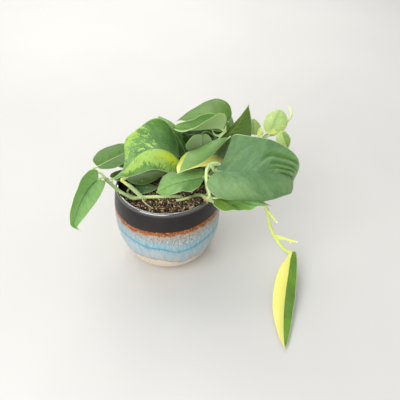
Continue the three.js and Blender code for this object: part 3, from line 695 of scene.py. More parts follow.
class Finish(Tree):
    """A material in the making."""

    def __init__(self, name):
        self.material = bpy.data.materials.new(name)
        self.material.use_nodes = True
        super().__init__(self.material.node_tree)

    def readings(self, *names):
        """Numbers that the mesh carries at each point."""
        return [self.add("ShaderNodeAttribute", {"attribute_name": name}, output="Fac") for name in names]

    def spot(self, name):
        """A place that the mesh carries at each point."""
        return self.add("ShaderNodeAttribute", {"attribute_name": name}, output="Vector")

    def place(self):
        """The place on the object, in millimetres."""
        return self.scaled(self.add("ShaderNodeTexCoord", output="Object"), 1 / MM)

    def upright(self, place, across, along):
        """The place pulled together or apart, across and upwards, so that noise on it runs."""
        return self.add("ShaderNodeVectorMath", {"operation": "MULTIPLY"}, {
            0: place, 1: (across, across, along),
        })

    def cloud(self, vector, scale, detail=2.0, roughness=0.5, distortion=0.0):
        """Soft noise about a half, with scale spots to a millimetre."""
        return self.add("ShaderNodeTexNoise", {}, {
            "Vector": vector, "Scale": scale, "Detail": detail, "Roughness": roughness,
            "Distortion": distortion,
        })

    def cells(self, vector, scale):
        """The distance to the nearest of scattered points."""
        return self.add("ShaderNodeTexVoronoi", {}, {"Vector": vector, "Scale": scale}, "Distance")

    def dots(self, vector, scale, inner, outer):
        """1 on scattered round dots and 0 off them."""
        return 1 - self.rise(self.cells(vector, scale), inner, outer)

    def rise(self, value, low, high):
        """0 below low, 1 above high, and a smooth rise between them."""
        return self.add("ShaderNodeMapRange", {"interpolation_type": "SMOOTHSTEP"}, {
            0: value, 1: low, 2: high, 3: 0.0, 4: 1.0,
        })

    def band(self, value, low, high, soft):
        """1 from low to high, and 0 past a soft edge on either side."""
        return self.rise(value, low - soft, low + soft) * (1 - self.rise(value, high - soft, high + soft))

    def above(self, value):
        """The value where it is above 0, and 0 elsewhere."""
        return self.maths("MAXIMUM", value, 0)

    def ramp(self, value, *stops):
        """The colour at the value, between stops of a place and a colour."""
        return self.add("ShaderNodeValToRGB", {
            "stops": [(place, paint(code)) for place, code in stops],
        }, {0: value})

    def mix(self, share, a, b):
        """Colour a where share is 0 and colour b where it is 1."""
        a, b = (paint(colour) if isinstance(colour, str) else colour for colour in (a, b))
        return self.add("ShaderNodeMix", {"data_type": "RGBA"}, {0: share, 6: a, 7: b}, 2)

    def layered(self, colour, *layers):
        """Lays colours over the first one, each by its share."""
        for share, over in layers:
            colour = self.mix(share, colour, over)
        return colour

    def close(self, colour, roughness, height=None, depth=0.0, **others):
        """Ends the material: height is a relief of 0 to 1 that is depth millimetres deep."""
        inputs = {"Base Color": colour, "Roughness": roughness}
        inputs.update({name.replace("_", " "): value for name, value in others.items()})
        if height is not None:
            inputs["Normal"] = self.add("ShaderNodeBump", {}, {
                "Strength": 1.0, "Distance": depth * MM, "Height": height,
            })
        surface = self.add("ShaderNodeBsdfPrincipled", {}, inputs)
        self.add("ShaderNodeOutputMaterial", {}, {"Surface": surface}, None)
        return self.material


# Pieces


def show(name, data):
    """An object in the scene that holds a mesh, lamp or camera."""
    obj = bpy.data.objects.new(name, data)
    bpy.context.scene.collection.objects.link(obj)
    return obj


def new_mesh(name, points, edges, faces, readings, spots=None):
    """A mesh from points in millimetres, with the numbers and places that its finish reads."""
    mesh = bpy.data.meshes.new(name)
    mesh.from_pydata((np.asarray(points, float) * MM).tolist(), edges, faces)
    for kind, field, table in (("FLOAT", "value", readings), ("FLOAT_VECTOR", "vector", spots)):
        for key, values in (table or {}).items():
            layer = mesh.attributes.new(key, kind, "POINT")
            layer.data.foreach_set(field, np.asarray(values, float).ravel())
    return mesh


def solid(name, points, faces, material, readings=None, spots=None):
    """A smooth mesh object with its finish."""
    mesh = new_mesh(name, points, [], faces, readings, spots)
    mesh.materials.append(material)
    mesh.polygons.foreach_set("use_smooth", [True] * len(mesh.polygons))
    mesh.update()
    return show(name, mesh)


def keep(obj, slot, *nodes):
    """The piece rides on the body and stands for its nodes, whose parts it hides; slot is not used."""
    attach(obj, BODY)
    if nodes:
        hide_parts(*nodes)


def rings_joined(rings, sides, start, end=None, from_top=False):
    """Faces between rings of points, with a fan to the point start and one to the point end.
    The rings run up from the bottom, or from the top out and down."""
    faces = []

    def face(first, *others):
        faces.append([first, *(reversed(others) if from_top else others)])

    for side in range(sides):
        near, far = side, (side + 1) % sides
        face(start, far, near)
        for ring in range(rings - 1):
            a, b = ring * sides, (ring + 1) * sides
            face(a + near, a + far, b + far, b + near)
        if end is not None:
            face(end, b + near, b + far)
    return faces


def along_line(places, reach, columns):
    """Points or directions at places along a line of three columns."""
    return np.stack([np.interp(places, reach, columns[:, k]) for k in range(3)], -1)


def bent(b, c, leave, arrive, share):
    """Places from b to c on a cubic that leaves and arrives at given rates."""
    return (b + leave * share + (3 * (c - b) - 2 * leave - arrive) * share ** 2
            + (2 * (b - c) + leave + arrive) * share ** 3)


def even_path(points, step):
    """A smooth line through the points, with a place about every step."""
    p = np.array(points, float)
    p = np.vstack([2 * p[0] - p[1], p, 2 * p[-1] - p[-2]])
    places = []
    for i in range(1, len(p) - 2):
        a, b, c, d = p[i - 1:i + 3]
        s, t, u = (np.linalg.norm(end - start) ** 0.5 for start, end in ((a, b), (b, c), (c, d)))
        leave = t * ((b - a) / s - (c - a) / (s + t) + (c - b) / t)
        arrive = t * ((c - b) / t - (d - b) / (t + u) + (d - c) / u)
        count = max(2, round(np.linalg.norm(c - b) / step))
        places.append(bent(b, c, leave, arrive, np.linspace(0, 1, count, endpoint=False)[:, None]))
    places.append(p[-2:-1])
    return np.vstack(places)


def even_profile(points, steps):
    """A smooth outline through the points, with steps places to each stretch."""
    p = np.array(points, float)
    p = np.vstack([p[0], p, p[-1]])
    share = np.linspace(0, 1, steps, endpoint=False)[:, None]
    rows = []
    for i in range(1, len(p) - 2):
        a, b, c, d = p[i - 1:i + 3]
        rows.append(bent(b, c, (c - a) / 2, (d - b) / 2, share))
    rows.append(p[-2:-1])
    return np.vstack(rows)


def ripples(x, y, height, count, shortest, longest, seed):
    """A seeded sum of plain waves for uneven surfaces."""
    chance = np.random.default_rng(seed)
    total = np.zeros_like(x)
    for _ in range(count):
        length = chance.uniform(shortest, longest)
        way = chance.uniform(0, TURN)
        start = chance.uniform(0, TURN)
        total += np.sin(TURN * (x * math.cos(way) + y * math.sin(way)) / length + start)
    return height * (total / math.sqrt(count))


# Leaves


def leaf_form(name):
    """A leaf's row of the table, with what it leaves out."""
    return {**LEAF_DEFAULTS, **LEAVES[name]}


def turned(v, axis, angle):
    """v turned about an axis by an angle in radians."""
    c, s = math.cos(angle), math.sin(angle)
    return v * c + np.cross(axis, v) * s + axis * np.dot(axis, v) * (1 - c)


def midrib(leaf):
    """Stations along the midrib: distance, place, the way ahead and the way up."""
    turn, rise = math.radians(leaf["turn"]), math.radians(leaf["rise"])
    ahead = np.array([math.cos(turn) * math.cos(rise), math.sin(turn) * math.cos(rise), math.sin(rise)])
    up = np.array([-math.cos(turn) * math.sin(rise), -math.sin(turn) * math.sin(rise), math.cos(rise)])
    up = turned(up, ahead, math.radians(leaf["tilt"]))
    place = np.array(leaf["at"], float)
    first, middle, last = leaf["arch"]
    step = leaf["length"] / SPINE_STEPS
    stations = [(0.0, place, ahead, up)]
    for i in range(SPINE_STEPS):
        x = (i + 0.5) / SPINE_STEPS
        bend = first + (middle - first) * 2 * x if x < 0.5 else middle + (last - middle) * (2 * x - 1)
        side = np.cross(ahead, up)
        bend = -math.radians(bend) / SPINE_STEPS
        fore, up = turned(ahead, side, bend), turned(up, side, bend)
        fore = turned(fore, up, math.radians(leaf["sweep"]) / SPINE_STEPS)
        up = turned(up, fore, math.radians(leaf["twist"]) / SPINE_STEPS)
        place = place + step * 0.5 * (ahead + fore)
        ahead = fore / np.linalg.norm(fore)
        stations.append(((i + 1) * step, place, ahead, up))
    return [np.array(column) for column in zip(*stations)]


def bell(x, blunt, point):
    """The half width along a leaf, 1 at its widest."""
    peak = blunt / (blunt + point)
    x = np.clip(x, 0, 1)
    return np.power(x, blunt) * np.power(1 - x, point) / (peak ** blunt * (1 - peak) ** point)


def smooth_through(x, values):
    """A smooth curve through five values at 0, a quarter, a half, three quarters and 1."""
    y = np.array([2 * values[0] - values[1], *values, 2 * values[-1] - values[-2]])
    x = np.clip(x, 0, 1) * 4
    i = np.clip(np.floor(x).astype(int), 0, 3)
    a, b, c, d = y[i], y[i + 1], y[i + 2], y[i + 3]
    return bent(b, c, (c - a) / 2, (d - b) / 2, x - i)


def outline(leaf, x, side):
    """The margin's place along and across, as shares of the length and the half width."""
    blunt, point = leaf["blunt"], leaf["point"]
    across = (1 - DRIP_SHARE) * bell(x / (1 - leaf["drip"]), blunt, point)
    across = across + DRIP_SHARE * bell(x, blunt, point)
    if leaf["shape"]:
        across = across * smooth_through(x, leaf["shape"][side])
    s = np.clip(across / BELL_LIFT, 0, 1)
    along = x - leaf["lobe"][side] * (1 - x) ** LOBE_FADE * (s * s * (3 - 2 * s))
    return along, across


def on_blade(leaf, stations, along, across):
    """Places on the bent blade, and the ways out of its upper side, for flat places in millimetres."""
    reach, places, aheads, ups = stations
    inside = np.clip(along, 0, leaf["length"])
    place, ahead, up = (along_line(inside, reach, columns) for columns in (places, aheads, ups))
    ahead /= np.linalg.norm(ahead, axis=-1, keepdims=True)
    up -= ahead * (up * ahead).sum(-1, keepdims=True)
    up /= np.linalg.norm(up, axis=-1, keepdims=True)
    side = np.cross(ahead, up)
    place = place + ahead * (along - inside)[..., None]
    right = across >= 0
    fold, curl, half = (np.where(right, leaf[key][1], leaf[key][0]) for key in ("fold", "curl", "half"))
    fold = np.radians(fold)
    bend = np.radians(curl) / half
    bend = np.where(np.abs(bend) < LEAST_BEND, LEAST_BEND, bend)
    slope = fold - bend * np.abs(across)
    sideways = (np.sin(fold) - np.sin(slope)) / bend
    lift = (np.cos(slope) - np.cos(fold)) / bend
    sign = np.where(right, 1.0, -1.0)
    point = place + side * (sideways * sign)[..., None] + up * lift[..., None]
    normal = up * np.cos(slope)[..., None] - side * (np.sin(slope) * sign)[..., None]
    return point, normal


def along_marks(share, marks, **outside):
    """The value at each share of the length, on straight lines between pairs of place and value."""
    return np.interp(share, [place for place, _ in marks], [value for _, value in marks], **outside)


def spots_on(patches, share, off):
    """The sum of a look's soft round patches."""
    total = 0 * share
    for centre, middle, far, wide, amount in patches:
        away = ((share - centre) / far) ** 2 + ((off - middle) / wide) ** 2
        total = total + amount * np.exp(-away)
    return total


def press(creases, share, off):
    """How far the creases press the blade down, in millimetres, with a soft shoulder beside each."""
    depth = 0 * share
    for deep, half_width, line in creases:
        start, end = line[0][0], line[-1][0]
        fade = np.interp(share, [start, start + CREASE_START, end - CREASE_END, end], [0, 1, 1, 0])
        beside = (off - along_marks(share, line)) / half_width
        valley = np.exp(-(beside + VALLEY_OFF) ** 2)
        shoulder = np.exp(-(beside - SHOULDER_OFF) ** 2)
        depth = depth + deep * fade * (valley - PLEAT_SHOULDER * shoulder)
    return depth


def blade_relief(look, phase, share, off, side_width, inset, veins):
    """How far the blade stands off its plain bent form: waves, veins and creases, in millimetres."""
    out = np.abs(off)
    wave = sum(
        height * np.sin(TURN * count * share + shift * phase) for count, height, shift in MARGIN_WAVES)
    wave *= look["wave"] * out ** 2 * np.clip(inset + side_width / WAVE_WIDTH, 0, 1)
    wave *= np.sin(math.pi * np.clip(share, 0, 1)) ** WAVE_ENDS
    fade = np.clip(out * side_width / WAVE_WIDTH, 0, 1) ** 2 * np.clip(inset / VEIN_INSET, 0, 1)
    vein = VEIN_LIFT * look["lift"] * np.cos(TURN * veins) * fade
    return wave - vein - press(look["creases"], share, off)


def blade_piece(name, finish):
    """One leaf as a thin closed blade, with a groove and rib along it, raised veins and waves."""
    leaf = leaf_form(name)
    look = {**LOOK_DEFAULTS, **LOOKS[name]}
    number = list(LEAVES).index(name)
    x = np.linspace(0, 1, BLADE_ROWS + 1) ** ROW_CROWDING
    u = np.linspace(-1, 1, 2 * look["fine"] + 1)
    v = np.sign(u) * np.abs(u) ** COLUMN_CROWDING
    right = v >= 0

    def pick(left_value, right_value):
        return np.where(right, right_value, left_value)

    margins = [outline(leaf, x, side) for side in (0, 1)]
    edge_along, edge_across = (pick(*(margin[k][:, None] for margin in margins)) for k in (0, 1))
    half = pick(*leaf["half"])
    for place, side, reach, more in look["swell"]:
        swollen = more * np.exp(-((x - place) / reach) ** 2)[:, None]
        half = half + (swollen * pick(0, 1) if side else swollen * pick(1, 0))
    along = (x[:, None] + (edge_along - x[:, None]) * np.abs(v)) * leaf["length"]
    across = edge_across * v * half
    middle, normal = on_blade(leaf, midrib(leaf), along, across)
    share = x[:, None] + 0 * across
    off = v[None, :] + 0 * share
    inset = (1 - np.abs(off)) * edge_across * half
    veins = VEINS * (1 - share) / (VEIN_SPREAD - np.abs(off)) ** VEIN_BOW
    phase = number * LEAF_SHIFT + pick(HALF_SHIFT, 0)
    lift = blade_relief(look, phase, share, off, edge_across * half, inset, veins)
    middle = middle + normal * lift[..., None]
    for start, way in look["hook"]:
        bend = np.clip((share - start) / (1 - start), 0, 1) ** 2
        middle = middle + bend[..., None] * np.array(way, float)
    beside = np.abs(across)
    tip_fade = np.sqrt(1 - share)
    groove = GROOVE_DEPTH * np.exp(-(beside / GROOVE_HALF) ** 2) * tip_fade
    rib = RIB_DEPTH * np.exp(-(beside / RIB_HALF) ** 2) * tip_fade
    thick = BLADE_MARGIN + (BLADE_MIDDLE - BLADE_MARGIN) * np.clip(inset / MARGIN_WIDTH, 0, 1)
    upper = middle + normal * (thick / 2 - groove)[..., None]
    lower = middle - normal * (thick / 2 + rib)[..., None]

    cream = pick(*look["cream"]) + spots_on(look["marks"], share, off)
    if look["border"]:
        side, line = look["border"]
        bordered = (np.abs(off) - along_marks(share, line, left=NO_BORDER)) * BORDER_STEEPNESS
        cream = np.where(pick(0, 1) == side, bordered, cream)
    rib_marks = look["rib"] if isinstance(look["rib"], tuple) else ((0, look["rib"]),)
    flat = 0 * share
    readings = {
        "along": share, "inset": inset, "veins": veins, "beside": beside, "cream": cream,
        "tone": look["tone"] + pick(*look["sides"]) + spots_on(look["patches"], share, off),
        "mottle": look["mottle"] + flat, "tip": look["tip"] + flat,
        "warm": spots_on(look["warm"], share, off), "shade": spots_on(look["shade"], share, off),
        "rib": along_marks(share, rib_marks),
        "crease": np.clip(press(look["creases"], share, off), 0, 1),
    }
    apart = PATTERN_STEP * number + flat
    spots = {
        "grain": np.stack([along - GRAIN_LEAN * beside, GRAIN_STRETCH * (along + beside),
                           PATTERN_HALF * np.sign(v) + apart], -1),
        "flat": np.stack([along, across, apart], -1),
    }
    return two_sheets(name.replace("leaf_", "blade_"), upper, lower, readings, spots, finish)


def two_sheets(name, upper, lower, readings, spots, finish):
    """A thin closed solid between two sheets of points whose first and last rows are one point."""
    rows, columns = len(upper) - 1, len(upper[0])
    middle = columns // 2

    def packed(grid):
        """A sheet's values in the order of its points."""
        inner = grid[1:rows].reshape((rows - 1) * columns, *grid.shape[2:])
        return np.concatenate([grid[:1, middle], inner, grid[rows:, middle]])

    points = np.concatenate([packed(upper), packed(lower)])
    marks = {key: np.tile(packed(grid), 2) for key, grid in readings.items()}
    places = {key: np.tile(packed(grid), (2, 1)) for key, grid in spots.items()}
    layer = len(points) // 2
    marks["under"] = np.repeat([0.0, 1.0], layer)

    def at(sheet, row, column):
        """The number of a point."""
        if row == 0:
            return sheet * layer
        if row == rows:
            return sheet * layer + layer - 1
        return sheet * layer + 1 + (row - 1) * columns + column

    faces = []

    def face(ring, flip):
        """Adds a face, unless its points fall together."""
        ring = list(dict.fromkeys(ring))
        if len(ring) > 2:
            faces.append(ring[::-1] if flip else ring)

    for row in range(rows):
        for sheet in (0, 1):
            for column in range(columns - 1):
                face([at(sheet, row, column), at(sheet, row, column + 1),
                      at(sheet, row + 1, column + 1), at(sheet, row + 1, column)], sheet == 1)
        for column, flip in ((0, True), (columns - 1, False)):
            face([at(0, row, column), at(1, row, column),
                  at(1, row + 1, column), at(0, row + 1, column)], flip)
    return solid(name, points, faces, finish, marks, places)


# Deep, middle and light green, then what the cream parts are: lime, and yellow where warm
PALETTES = {
    "green": ("263f1b", "527b3e", "93bc76", "9fc05c", "fbf284"),
    "satin": ("34492c", "577a4b", "97b57b", "a9b98a", "dfe6b0"),
    "young": ("64843f", "8aa75c", "c2d696", "c8d274", "e6e67c"),
}
RIB_COLOURS = {"green": "b9cf90", "satin": "a9c490", "young": "e3e48a"}
VEIN_COLOURS = {"green": "b5cb98", "satin": "a9c49c", "young": "ece878"}

# How much the side veins show as pale threads, and as light and dark bands beside them, which are painted
# light and shade of the blade's ripples between the veins
VEIN_SHOW = {"green": 0.2, "satin": 0.05, "young": 0.6}
VEIN_LIGHT_AND_SHADE_BANDS = {"green": 0.22, "satin": 0.06, "young": 0.6}

WARM_GREEN = "8fb52a"
FRESH_GREEN = "6d9c24"
SHARP_YELLOW = "cde238"
SILVER_FLECK = "b7cdae"
PAINTED_SHEEN_GREEN = "8aa88e"
CREASE_SHADE_GREEN = "3f6a20"
MARGIN_PALE = "d3dcae"
TIP_DRY = "7a5a2c"
TIP_PALE = "eef2dc"
UNDERSIDE_PALE = "c4d8a4"
# The dark green of painted shade.
PAINTED_SHADE_COLOUR = "2b3d0e"
RIB_TAPER = (0.25, 0.75)


def leaf_finish(kind):
    """Living leaf: green of uneven depth, crisp cream marks, a pale margin, faint veins, a soft shine,
    with painted shade in shaded parts, grooves and creases, painted light and shade beside the veins, and
    a painted sheen on satin leaves.
    """
    f = Finish("leaf_" + kind)
    along, inset, beside, under, veins = f.readings("along", "inset", "beside", "under", "veins")
    tone, cream, mottle, warm, shade = f.readings("tone", "cream", "mottle", "warm", "shade")
    rib_pale_and_groove_shade, tip, crease = f.readings("rib", "tip", "crease")
    grain, flat = f.spot("grain"), f.spot("flat")
    deep, middle, light, lime, yellow = PALETTES[kind]

    broad = f.cloud(grain, 0.055, 2, 0.55, 0.6)
    fine = f.cloud(grain, 0.32, 3, 0.6)
    mealy = f.cloud(flat, 0.9, 2, 0.5)
    from_vein = f.maths("PINGPONG", veins, 0.5)
    field = tone + (broad - 0.5) * 0.45 + (fine - 0.5) * 0.3 + (mealy - 0.5) * 0.16
    # The bands beside the veins paint light and shade on the blade's ripples.
    field = field + (from_vein - 0.25) * VEIN_LIGHT_AND_SHADE_BANDS[kind]
    colour = f.ramp(field, (0.05, deep), (0.45, middle), (0.95, light))
    colour = f.mix(warm * 0.22, colour, WARM_GREEN)
    if kind == "green":
        colour = f.mix(f.rise(f.cloud(grain, 0.045, 2, 0.5, 0.4), 0.5, 0.72) * 0.4, colour, FRESH_GREEN)
    thread = 1 - f.rise(from_vein, 0.015, 0.07)
    colour = f.mix(thread * VEIN_SHOW[kind] * f.rise(beside, 0.5, 2), colour, VEIN_COLOURS[kind])

    streak = f.cloud(grain, 0.22, 3, 0.6)
    dashes = f.rise(f.cloud(grain, 0.2, 2, 0.5), 0.6, 0.66) * mottle
    bright = f.mix(f.rise(warm + (streak - 0.5) * 0.5, 0.1, 0.5), lime, SHARP_YELLOW)
    bright = f.layered(
        bright, (f.rise(warm, 0.6, 0.95), yellow),
        (f.rise(streak, 0.5, 0.66) * 0.25 * (1 - warm), middle), (dashes * 1.4, middle))
    blots = f.cloud(grain, 0.16, 5, 0.68, 0.5)
    flecks = f.cloud(flat, 0.5, 3, 0.6)
    marked = cream + (blots - 0.5) * 3.8 * mottle + (flecks - 0.5) * 2.2 * mottle
    colour = f.mix(f.rise(marked, -0.05, 0.06), colour, bright)
    if kind == "satin":
        fleck = f.dots(flat, 0.8, 0.1, 0.24) * f.rise(f.cloud(flat, 0.09, 2), 0.42, 0.62)
        # sheen is a painted sheen: cloudy patches of silvery grey-green laid into the colour.
        painted_sheen = f.rise(f.cloud(grain, 0.04, 2), 0.35, 0.7)
        colour = f.layered(colour, (fleck * 0.3, SILVER_FLECK), (painted_sheen * 0.12, PAINTED_SHEEN_GREEN))

    thinnest, thicker = RIB_TAPER
    rib = 1 - f.rise(beside / (thinnest + (1 - along) * thicker), 0.55, 1.15)
    rim = 1 - f.rise(inset + (fine - 0.5) * 0.5, 0.3, 1.0)
    end = f.rise(along, 0.955, 0.985)
    colour = f.layered(
        # Below 0 the midrib is painted deep green, painted shade in its groove.
        colour, (rib * f.above(rib_pale_and_groove_shade), RIB_COLOURS[kind]), (rib * f.above(rib_pale_and_groove_shade * -1), deep),
        # The creases get painted shade, a darker green along their valleys.
        (crease * 0.5, CREASE_SHADE_GREEN), (rim * 0.45, MARGIN_PALE),
        (end * f.above(tip) * 0.8, TIP_DRY), (end * f.above(tip * -1) * 0.8, TIP_PALE))
    colour = f.mix(under, colour, f.mix(0.5, colour, UNDERSIDE_PALE))
    # shade is painted shade: it darkens the blade where other leaves or a fold shade it.
    colour = f.mix(shade, colour, PAINTED_SHADE_COLOUR)
    height = f.cells(flat, 1.5) * 0.25 + fine * 0.35 + mealy * 0.3 + thread * 0.4
    roughness = 0.42 + (fine - 0.5) * 0.14 + under * 0.14
    return f.close(
        colour, roughness, height, 0.14, IOR=1.4, Specular_IOR_Level=0.3,
        Subsurface_Weight=0.4, Subsurface_Radius=(0.8, 1.0, 0.3), Subsurface_Scale=2 * MM)


# Pot


def round_edge(marks, angle):
    """The height of a glaze edge at each angle, smooth between the marks."""
    places, heights = np.array(marks, float).T
    spread = np.radians(np.arange(-EDGE_REACH, EDGE_REACH + 1, EDGE_STEP))
    shares = np.exp(-(spread / math.radians(EDGE_SMOOTHING)) ** 2)
    total = sum(
        part * np.interp(np.degrees(angle + turn), places, heights, period=360)
        for turn, part in zip(spread, shares))
    return total / shares.sum()


def pot_finish():
    """Dark satin glaze over a rust drip, a speckled blue running glaze, and bare clay at the foot."""
    f = Finish("glazed_pot")
    place = f.place()
    black, line, clay, lip = f.readings("over_black", "over_line", "over_clay", "lip")
    runs = f.upright(place, 0.5, 0.07)
    drip = f.cloud(runs, 0.5, 3, 0.55)
    fine = f.cloud(runs, 1.6, 3, 0.65)
    grit = f.cloud(place, 1.4, 3, 0.6)
    patchy = f.cloud(place, 0.14, 3, 0.6)

    speckle = f.ramp(
        f.cloud(f.upright(place, 0.5, 0.12), 2.6, 3, 0.7),
        (0.36, "3d535d"), (0.46, "82959b"), (0.55, "adb4ae"), (0.66, "d8d8ce"))
    running = f.ramp(f.cloud(runs, 0.9, 3, 0.6), (0.32, "6e9aa8"), (0.5, "8badb8"), (0.68, "a7bbbd"))
    pale = f.ramp(f.cloud(runs, 0.6, 2, 0.5), (0.35, "92a8b3"), (0.52, "a2b3b9"), (0.7, "b9b3a4"))
    glaze = f.layered(
        running, (f.rise(line + (drip - 0.5) * 14, 4, 16), speckle),
        (1 - f.rise(line + (drip - 0.5) * 6, -9, -3), pale),
        (f.band(line + (fine - 0.5) * 3, -2.2, 1.0, 1.1) * 0.7, "53889d"))

    edge = black + (drip - 0.5) * 2.4
    rust = f.ramp(
        f.cloud(f.upright(place, 0.5, 0.3), 1.3, 3, 0.7),
        (0.36, "38200f"), (0.47, "8a4a1c"), (0.56, "ae6228"), (0.7, "c08a56"))
    dark = f.ramp(f.cloud(place, 0.045, 3, 0.5), (0.3, "1a1616"), (0.55, "1e1a1a"), (0.75, "241d1b"))
    glaze = f.layered(
        glaze, (f.band(edge + (patchy - 0.5) * 10, -15, -4, 5) * 0.45, "a78f78"),
        (f.rise(edge + (fine - 0.5) * 6 + (patchy - 0.5) * 9, -7.6, -4.8), rust),
        (f.dots(place, 0.5, 0.18, 0.32) * f.band(edge, -14, 0, 3) * 0.75, "43291b"),
        (f.rise(edge, -0.9, 0.7), f.mix(f.dots(place, 0.09, 0.0, 0.03), dark, "8b8380")),
        (f.band(clay, 0.1, 1.3, 0.5) * 0.5, "8f9aa0"))

    earth = f.ramp(f.cloud(place, 0.5, 4, 0.65), (0.3, "ccbaa1"), (0.5, "d9c9b2"), (0.7, "e0d5c3"))
    earth = f.mix(f.rise(grit, 0.66, 0.76) * 0.5, earth, "8e7558")
    ragged = clay + (drip - 0.5) * 7 + (grit - 0.5) * 1.6
    bare = 1 - f.rise(ragged, -0.25, 0.25)
    colour = f.layered(glaze, (bare, earth), (f.band(ragged, -1.1, 1.3, 0.6) * 0.62, "8c7252"))
    darkened = f.rise(edge, -1, 1)
    roughness = 0.3 + (grit - 0.5) * 0.1 + darkened * 0.07 + bare * 0.5
    height = grit * (0.25 + bare * 0.5) + drip * 0.3 + darkened * 0.3
    return f.close(
        colour, roughness, height, 0.16, IOR=1.5, Specular_IOR_Level=0.35,
        Coat_Weight=lip, Coat_Roughness=0.08, Coat_IOR=2.6)


def pot_piece():
    """The thrown pot: foot ring, belly, rounded lip and inside, with glaze that stands off the clay."""
    lip = [(RIM_RADIUS - LIP + LIP * math.cos(a), POT_HEIGHT - LIP + LIP * math.sin(a))
           for a in np.linspace(0, math.pi, LIP_STEPS)[1:-1]]
    outer = [*POT_BASE, *even_profile(POT_OUTSIDE, OUTSIDE_STEPS), *lip]
    profile = np.vstack([outer, even_profile(POT_INSIDE, INSIDE_STEPS), POT_BOTTOM])
    rows = len(profile) - 2
    angles = np.linspace(0, TURN, POT_SIDES, endpoint=False)
    radii, heights = (profile[1:-1, k][:, None] for k in (0, 1))
    ring = np.stack([radii * np.cos(angles), radii * np.sin(angles), heights + 0 * angles], -1)
    points = np.vstack([ring.reshape(-1, 3), [[0, 0, profile[0, 1]], [0, 0, profile[-1, 1]]]])
    faces = rings_joined(rows, POT_SIDES, rows * POT_SIDES, rows * POT_SIDES + 1)

    x, y, z = points.T
    angle, radius = np.arctan2(y, x), np.hypot(x, y)
    inside = np.zeros(len(points))
    inside[:rows * POT_SIDES] = np.repeat(np.arange(rows) >= len(outer) - 1, POT_SIDES)
    over_clay = z - round_edge(CLAY_EDGE, angle) + sum(
        height * np.sin(waves * angle + drift * np.sin(drifts * angle))
        for height, waves, drift, drifts in CLAY_RIPPLES)
    uneven = THROWN["depth"] * np.sin(z * THROWN["pitch"] + THROWN["lean"] * np.sin(2 * angle))
    uneven += OUT_OF_ROUND["depth"] * np.sin(OUT_OF_ROUND["sides"] * angle + z / OUT_OF_ROUND["climb"])
    stand = GLAZE_DEPTH / (1 + np.exp(-over_clay / GLAZE_RISE)) - GLAZE_DEPTH
    stand += BEAD_DEPTH * np.exp(-((over_clay - BEAD_HALF) / BEAD_HALF) ** 2)
    outside = (inside == 0) & (z > PLAIN_FOOT) & (z < POT_HEIGHT - PLAIN_LIP)
    grow = np.where(outside, uneven + stand, 0) / np.maximum(radius, 1)
    readings = {
        "lip": np.clip((z - POT_HEIGHT + LIP_GLOSS) / LIP_GLOSS, 0, 1),
        "over_black": z - round_edge(BLACK_EDGE, angle),
        "over_line": z - round_edge(BLUE_LINE, angle),
        "over_clay": over_clay + FAR_OFF * inside,
    }
    points = points + np.stack([x * grow, y * grow, 0 * z], -1)
    return solid("glazed_bowl", points, faces, pot_finish(), readings)


# Soil


def soil_height(x, y):
    """The soil's top: gentle mounds, and a hollow at the left wall."""
    away = np.hypot(x - SOIL_HOLLOW["x"], y - SOIL_HOLLOW["y"]) / SOIL_HOLLOW["radius"]
    mounds = (
        np.sin(0.21 * x + 1.1) * np.cos(0.24 * y - 0.4) + 0.7 * np.sin(0.47 * x - 0.31 * y + 2)
        + 0.5 * np.cos(0.83 * y + 0.61 * x)
    )
    return SOIL_LEVEL + SOIL_RELIEF * mounds - SOIL_HOLLOW["depth"] * np.exp(-away ** 2)


def soil_finish(name, darkest, middle, lightest, scale, depth, in_bits):
    """Potting mix, bark or fibre: a rough dull stuff of three tones, by patch or by bit."""
    f = Finish(name)
    place = f.place()
    lot = f.readings("lot")[0] if in_bits else f.cloud(place, 0.16, 3, 0.6)
    crumb = f.cloud(place, scale, 4, 0.7)
    colour = f.ramp(lot * 0.6 + crumb * 0.5 - 0.05, (0.32, darkest), (0.52, middle), (0.72, lightest))
    grit = f.cells(place, scale * 1.6)
    return f.close(colour, 0.92, crumb * 0.6 + grit * 0.4, depth, IOR=1.35)


def soil_top():
    """Points of the soil's bumpy top, ring by ring from the middle."""
    radius = np.linspace(0, 1, SOIL_RINGS + 1)[1:] * SOIL_REACH
    angles = np.linspace(0, TURN, SOIL_SIDES, endpoint=False)
    x, y = radius[:, None] * np.cos(angles), radius[:, None] * np.sin(angles)
    crumbs = sum(ripples(x, y, **row) for row in SOIL_CRUMBS)
    return np.stack([x, y, soil_height(x, y) + crumbs], -1)


def soil_piece(finish):
    """The body of the potting mix, from its top down to well below the lip."""
    top = soil_top()
    wall = [np.stack([top[-1, :, 0] * share, top[-1, :, 1] * share, 0 * top[-1, :, 2] + z], -1)
            for share, z in SOIL_WALL]
    rings = np.concatenate([top, wall])
    points = np.vstack([rings.reshape(-1, 3), [[0, 0, soil_height(0, 0)], [0, 0, SOIL_BOTTOM]]])
    middle = len(rings) * SOIL_SIDES
    faces = rings_joined(len(rings), SOIL_SIDES, middle, middle + 1, from_top=True)
    return solid("potting_mix", points, faces, finish)


